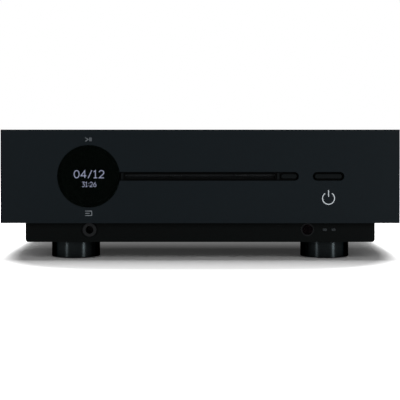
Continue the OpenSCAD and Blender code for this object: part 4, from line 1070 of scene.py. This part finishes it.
@dataclass
class Rear:
    """Sockets, posts and the mains inlet, with the print beside them."""

    print_depth: float = 0.01 * MM
    print_stroke: float = 0.5 * MM
    sign_size: float = 3.4 * MM
    sign_rise: float = 12.5 * MM
    line_rise: float = 16.5 * MM
    line_tick: float = 2.0 * MM
    number_size: Point = (2.0 * MM, 3.4 * MM)
    number_drop: float = 8.6 * MM
    phono_half: float = 6.0 * MM
    phono_pitch: float = 16.0 * MM
    ring_inner: float = 1.75 * MM
    ring_outer: float = 3.4 * MM
    ring_proud: float = 0.4 * MM
    ring_edge: float = 0.15 * MM
    ring_steps: int = 48
    blade_size: Point = (2.08 * MM, 4.08 * MM)
    blade_spread: float = 7.0 * MM
    blade_drop: float = 12.75 * MM
    blade_set: float = 2.96 * MM
    blade_root: float = 17.0 * MM
    blade_taper: float = 0.5 * MM
    tongue_size: Point = (5.68 * MM, 3.28 * MM)
    tongue_set: float = 2.26 * MM
    tongue_root: float = 11.8 * MM
    tongue_taper: float = 0.35 * MM
    rocker_rise: float = 11.0 * MM
    rocker_sink: float = 5.0 * MM
    rocker_tilt: float = 10.0
    rocker_dip: float = 2.2 * MM
    rocker_slope: float = 1.0 / 8.5
    rocker_mark: float = 4.4 * MM
    rocker_mark_half: float = 1.7 * MM
    moulded_edge_mm: float = 0.4
    socket_edge_mm: float = 0.3
    cap_edge_mm: float = 0.25
    metal_edge_mm: float = 0.2
    thin_edge_mm: float = 0.15

    def build(self) -> None:
        """Dress the pieces on the rear panel, and add what is set into them or printed beside them."""
        dress("power_inlet", Finishes.SOCKET, self.moulded_edge_mm)
        dress("power_rocker", Finishes.BUTTON, self.moulded_edge_mm)
        dress("post_studs", Finishes.GILT, self.metal_edge_mm)
        dress("post_bases", Finishes.BLACK, self.moulded_edge_mm)
        for i in range(1, 5):
            dress(f"post_bush_{i}", Finishes.GILT)
            dress(f"post_cap_{i}", Finishes.RED if i % 2 else Finishes.BLACK, self.cap_edge_mm)
        dress("rca_bodies", Finishes.SOCKET)
        dress("rca_shells", Finishes.GILT, self.thin_edge_mm)
        dress("optical_socket", Finishes.SOCKET, self.socket_edge_mm)
        dress("optical_flap", Finishes.DARK, self.thin_edge_mm)
        dress("usb_socket", Finishes.TIN, self.metal_edge_mm)
        self.phono_rings()
        self.inlet_blades()
        self.usb_tongue()
        self.rocker_marks()
        self.post_print()
        self.phono_print()

    def phono_rings(self) -> None:
        """Set a white insulator in each upper phono socket and a red one in each lower."""
        low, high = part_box("rca_bodies")
        profile = ring_profile(self.ring_inner, self.ring_outer, self.ring_proud, self.ring_edge)
        rows = (("white_phono_rings", Finishes.WHITE, "pale_plastic", high.z - self.phono_half),
                ("red_phono_rings", Finishes.RED, "post_red", low.z + self.phono_half))
        for name, finish, slot, z in rows:
            shape = bmesh.new()
            for x in self.phono_columns():
                lathe(shape, profile, Vector((x, high.y, z)), TO_REAR, self.ring_steps)
            add_piece(name, shape, finish, "case", smooth=True)

    def phono_columns(self) -> list[float]:
        """Where the three columns of phono sockets stand.

        Returns:
            The place of each column along X.
        """
        return [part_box("rca_bodies")[0].x + self.phono_half + i * self.phono_pitch for i in range(3)]

    def prong(self, shape: Shape, root: Vector, size: Point, length: float, taper: float) -> None:
        """Stand a flat prong with a tapered tip, pointing out of the rear.

        Args:
            shape: The mesh that gets it.
            root: Middle of its root.
            size: Its width and height.
            length: How far it reaches.
            taper: How much its tip narrows on each side.
        """
        rings = []
        for reach, inset in ((0.0, 0.0), (length - 2 * taper, 0.0), (length, taper)):
            half_w, half_h = size[0] / 2 - inset, size[1] / 2 - inset
            corners = oblong((-half_w, -half_h), (half_w, half_h))
            rings.append([shape.verts.new(root + Vector((x, reach, z))) for x, z in corners])
        for low, high in zip(rings, rings[1:]):
            for i in range(4):
                j = (i + 1) % 4
                shape.faces.new((low[i], low[j], high[j], high[i]))
        shape.faces.new(rings[0][::-1])
        shape.faces.new(rings[-1])

    def inlet_blades(self) -> None:
        """Stand the three contact blades in the mains inlet."""
        low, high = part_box("power_inlet")
        middle = (low + high) / 2
        half = self.blade_size[1] / 2
        shape = bmesh.new()
        for x, rise in ((-self.blade_spread, half), (self.blade_spread, half), (0.0, -half)):
            root = Vector((middle.x + x, high.y - self.blade_root, middle.z - self.blade_drop + rise))
            self.prong(shape, root, self.blade_size, self.blade_root - self.blade_set, self.blade_taper)
        add_piece("inlet_blades", shape, Finishes.TIN, "case")

    def usb_tongue(self) -> None:
        """Cover the data socket's tongue in its white moulding."""
        low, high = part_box("usb_socket")
        middle = (low + high) / 2
        shape = bmesh.new()
        root = Vector((middle.x, high.y - self.tongue_root, middle.z))
        self.prong(shape, root, self.tongue_size, self.tongue_root - self.tongue_set, self.tongue_taper)
        add_piece("usb_tongue", shape, Finishes.WHITE, "case")

    def rocker_marks(self) -> None:
        """Print a bar and a ring on the two halves of the mains rocker."""
        low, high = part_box("power_inlet")
        middle = (low + high) / 2
        pivot = Matrix.Translation((middle.x, high.y - self.rocker_sink, middle.z + self.rocker_rise))
        tilt = Matrix.Rotation(math.radians(-self.rocker_tilt), 4, "X")
        half = self.rocker_mark_half
        strokes = {1: ribbon([(0, -half), (0, half)], self.print_stroke),
                   -1: ribbon(arc((0, 0), half, 0, 360, 32), self.print_stroke)}
        shape = bmesh.new()
        for side, outlines in strokes.items():
            dip = self.rocker_dip + self.rocker_slope * self.rocker_mark
            spot = Matrix.Translation((0, dip, side * self.rocker_mark))
            slope = Matrix.Rotation(-side * math.atan(self.rocker_slope), 4, "X")
            turn = pivot @ tilt @ spot @ slope @ Matrix.Rotation(math.pi, 4, "Z")
            for outline in outlines:
                plate(shape, outline, -self.print_depth, 2 * self.print_depth, turn)
        add_piece("rocker_marks", shape, Finishes.PRINT, "power_rocker")

    def print_rear(self, name: str, outlines: Sequence[Sequence[Point]]) -> None:
        """Print on the rear panel.

        Args:
            name: Name of the print.
            outlines: Its flat shapes, as they are read from behind.
        """
        turn = Matrix.Translation((0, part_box("rear_panel")[1].y, 0)) @ Matrix.Rotation(math.pi, 4, "Z")
        shape = bmesh.new()
        for outline in outlines:
            plate(shape, outline, -self.print_depth, 2 * self.print_depth, turn)
        add_piece(name, shape, Finishes.PRINT, "case")

    def post_print(self) -> None:
        """Print a sign over each loudspeaker post and a line over each pair."""
        caps = [middle_of(f"post_cap_{i}") for i in range(1, 5)]
        places = [(-cap.x, cap.z) for cap in caps]
        half = self.sign_size / 2
        strokes: list[list[Point]] = []
        for i, (x, z) in enumerate(places):
            level = z + self.sign_rise
            strokes += ribbon([(x - half, level), (x + half, level)], self.print_stroke)
            if i % 2 == 0:
                strokes += ribbon([(x, level - half), (x, level + half)], self.print_stroke)
        for (first, z), (last, _) in (places[:2], places[2:]):
            line = z + self.line_rise
            strokes += ribbon([(first, line - self.line_tick / 2), (first, line), (last, line),
                               (last, line - self.line_tick / 2)], self.print_stroke)
        self.print_rear("post_print", strokes)

    def phono_print(self) -> None:
        """Number the columns of phono sockets."""
        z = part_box("rca_bodies")[0].z + self.phono_half - self.number_drop
        strokes: list[list[Point]] = []
        for number, x in enumerate(self.phono_columns(), 1):
            strokes += figures(str(number), (-x, z), self.number_size, self.print_stroke)
        self.print_rear("phono_print", strokes)


@dataclass
class Transport:
    """The slot-loading mechanism."""

    sheet_edge_mm: float = 0.2
    motor_edge_mm: float = 0.4
    moulded_edge_mm: float = 0.2

    def build(self) -> None:
        """Dress the pieces of the mechanism."""
        for node in ("transport_deck", "transport_legs", "transport_top", "traverse_frame"):
            dress(node, Finishes.ZINC, self.sheet_edge_mm)
        for node in ("loading_motor", "spindle_motor", "sled_motor"):
            dress(node, Finishes.MOTOR, self.motor_edge_mm)
        for node in ("loading_roller", "loading_belt"):
            dress(node, Finishes.RUBBER)
        for node in ("turntable", "pickup_sled", "clamp_puck"):
            dress(node, Finishes.DARK, self.moulded_edge_mm)
        dress("motor_pulley", Finishes.PALE, self.moulded_edge_mm)
        dress("guide_rods", Finishes.GROUND)
        dress("lead_screw", Finishes.GILT)


@dataclass
class Power:
    """Transformer, boards and amplifier parts."""

    clamp_edge_mm: float = 0.3
    can_edge_mm: float = 1.0
    device_edge_mm: float = 0.3

    def build(self) -> None:
        """Dress the pieces of the power supply and the amplifier."""
        dress("transformer", Finishes.WINDING)
        dress("transformer_clamp", Finishes.ZINC, self.clamp_edge_mm)
        dress("main_board", Finishes.BOARD)
        dress("capacitors", Finishes.SLEEVE, self.can_edge_mm)
        dress("output_devices", Finishes.SOCKET, self.device_edge_mm)


def main() -> None:
    """Build the studio and every sub-assembly."""
    logging.basicConfig(level=logging.INFO, format="%(name)s: %(message)s")
    parts = (Studio(), FrontPanel(), Display(), Slot(), LowerFront(), Case(), Rear(), Transport(), Power())
    for part in parts:
        part.build()
        LOG.info("finished %s", type(part).__name__)


if __name__ == "__main__":
    main()
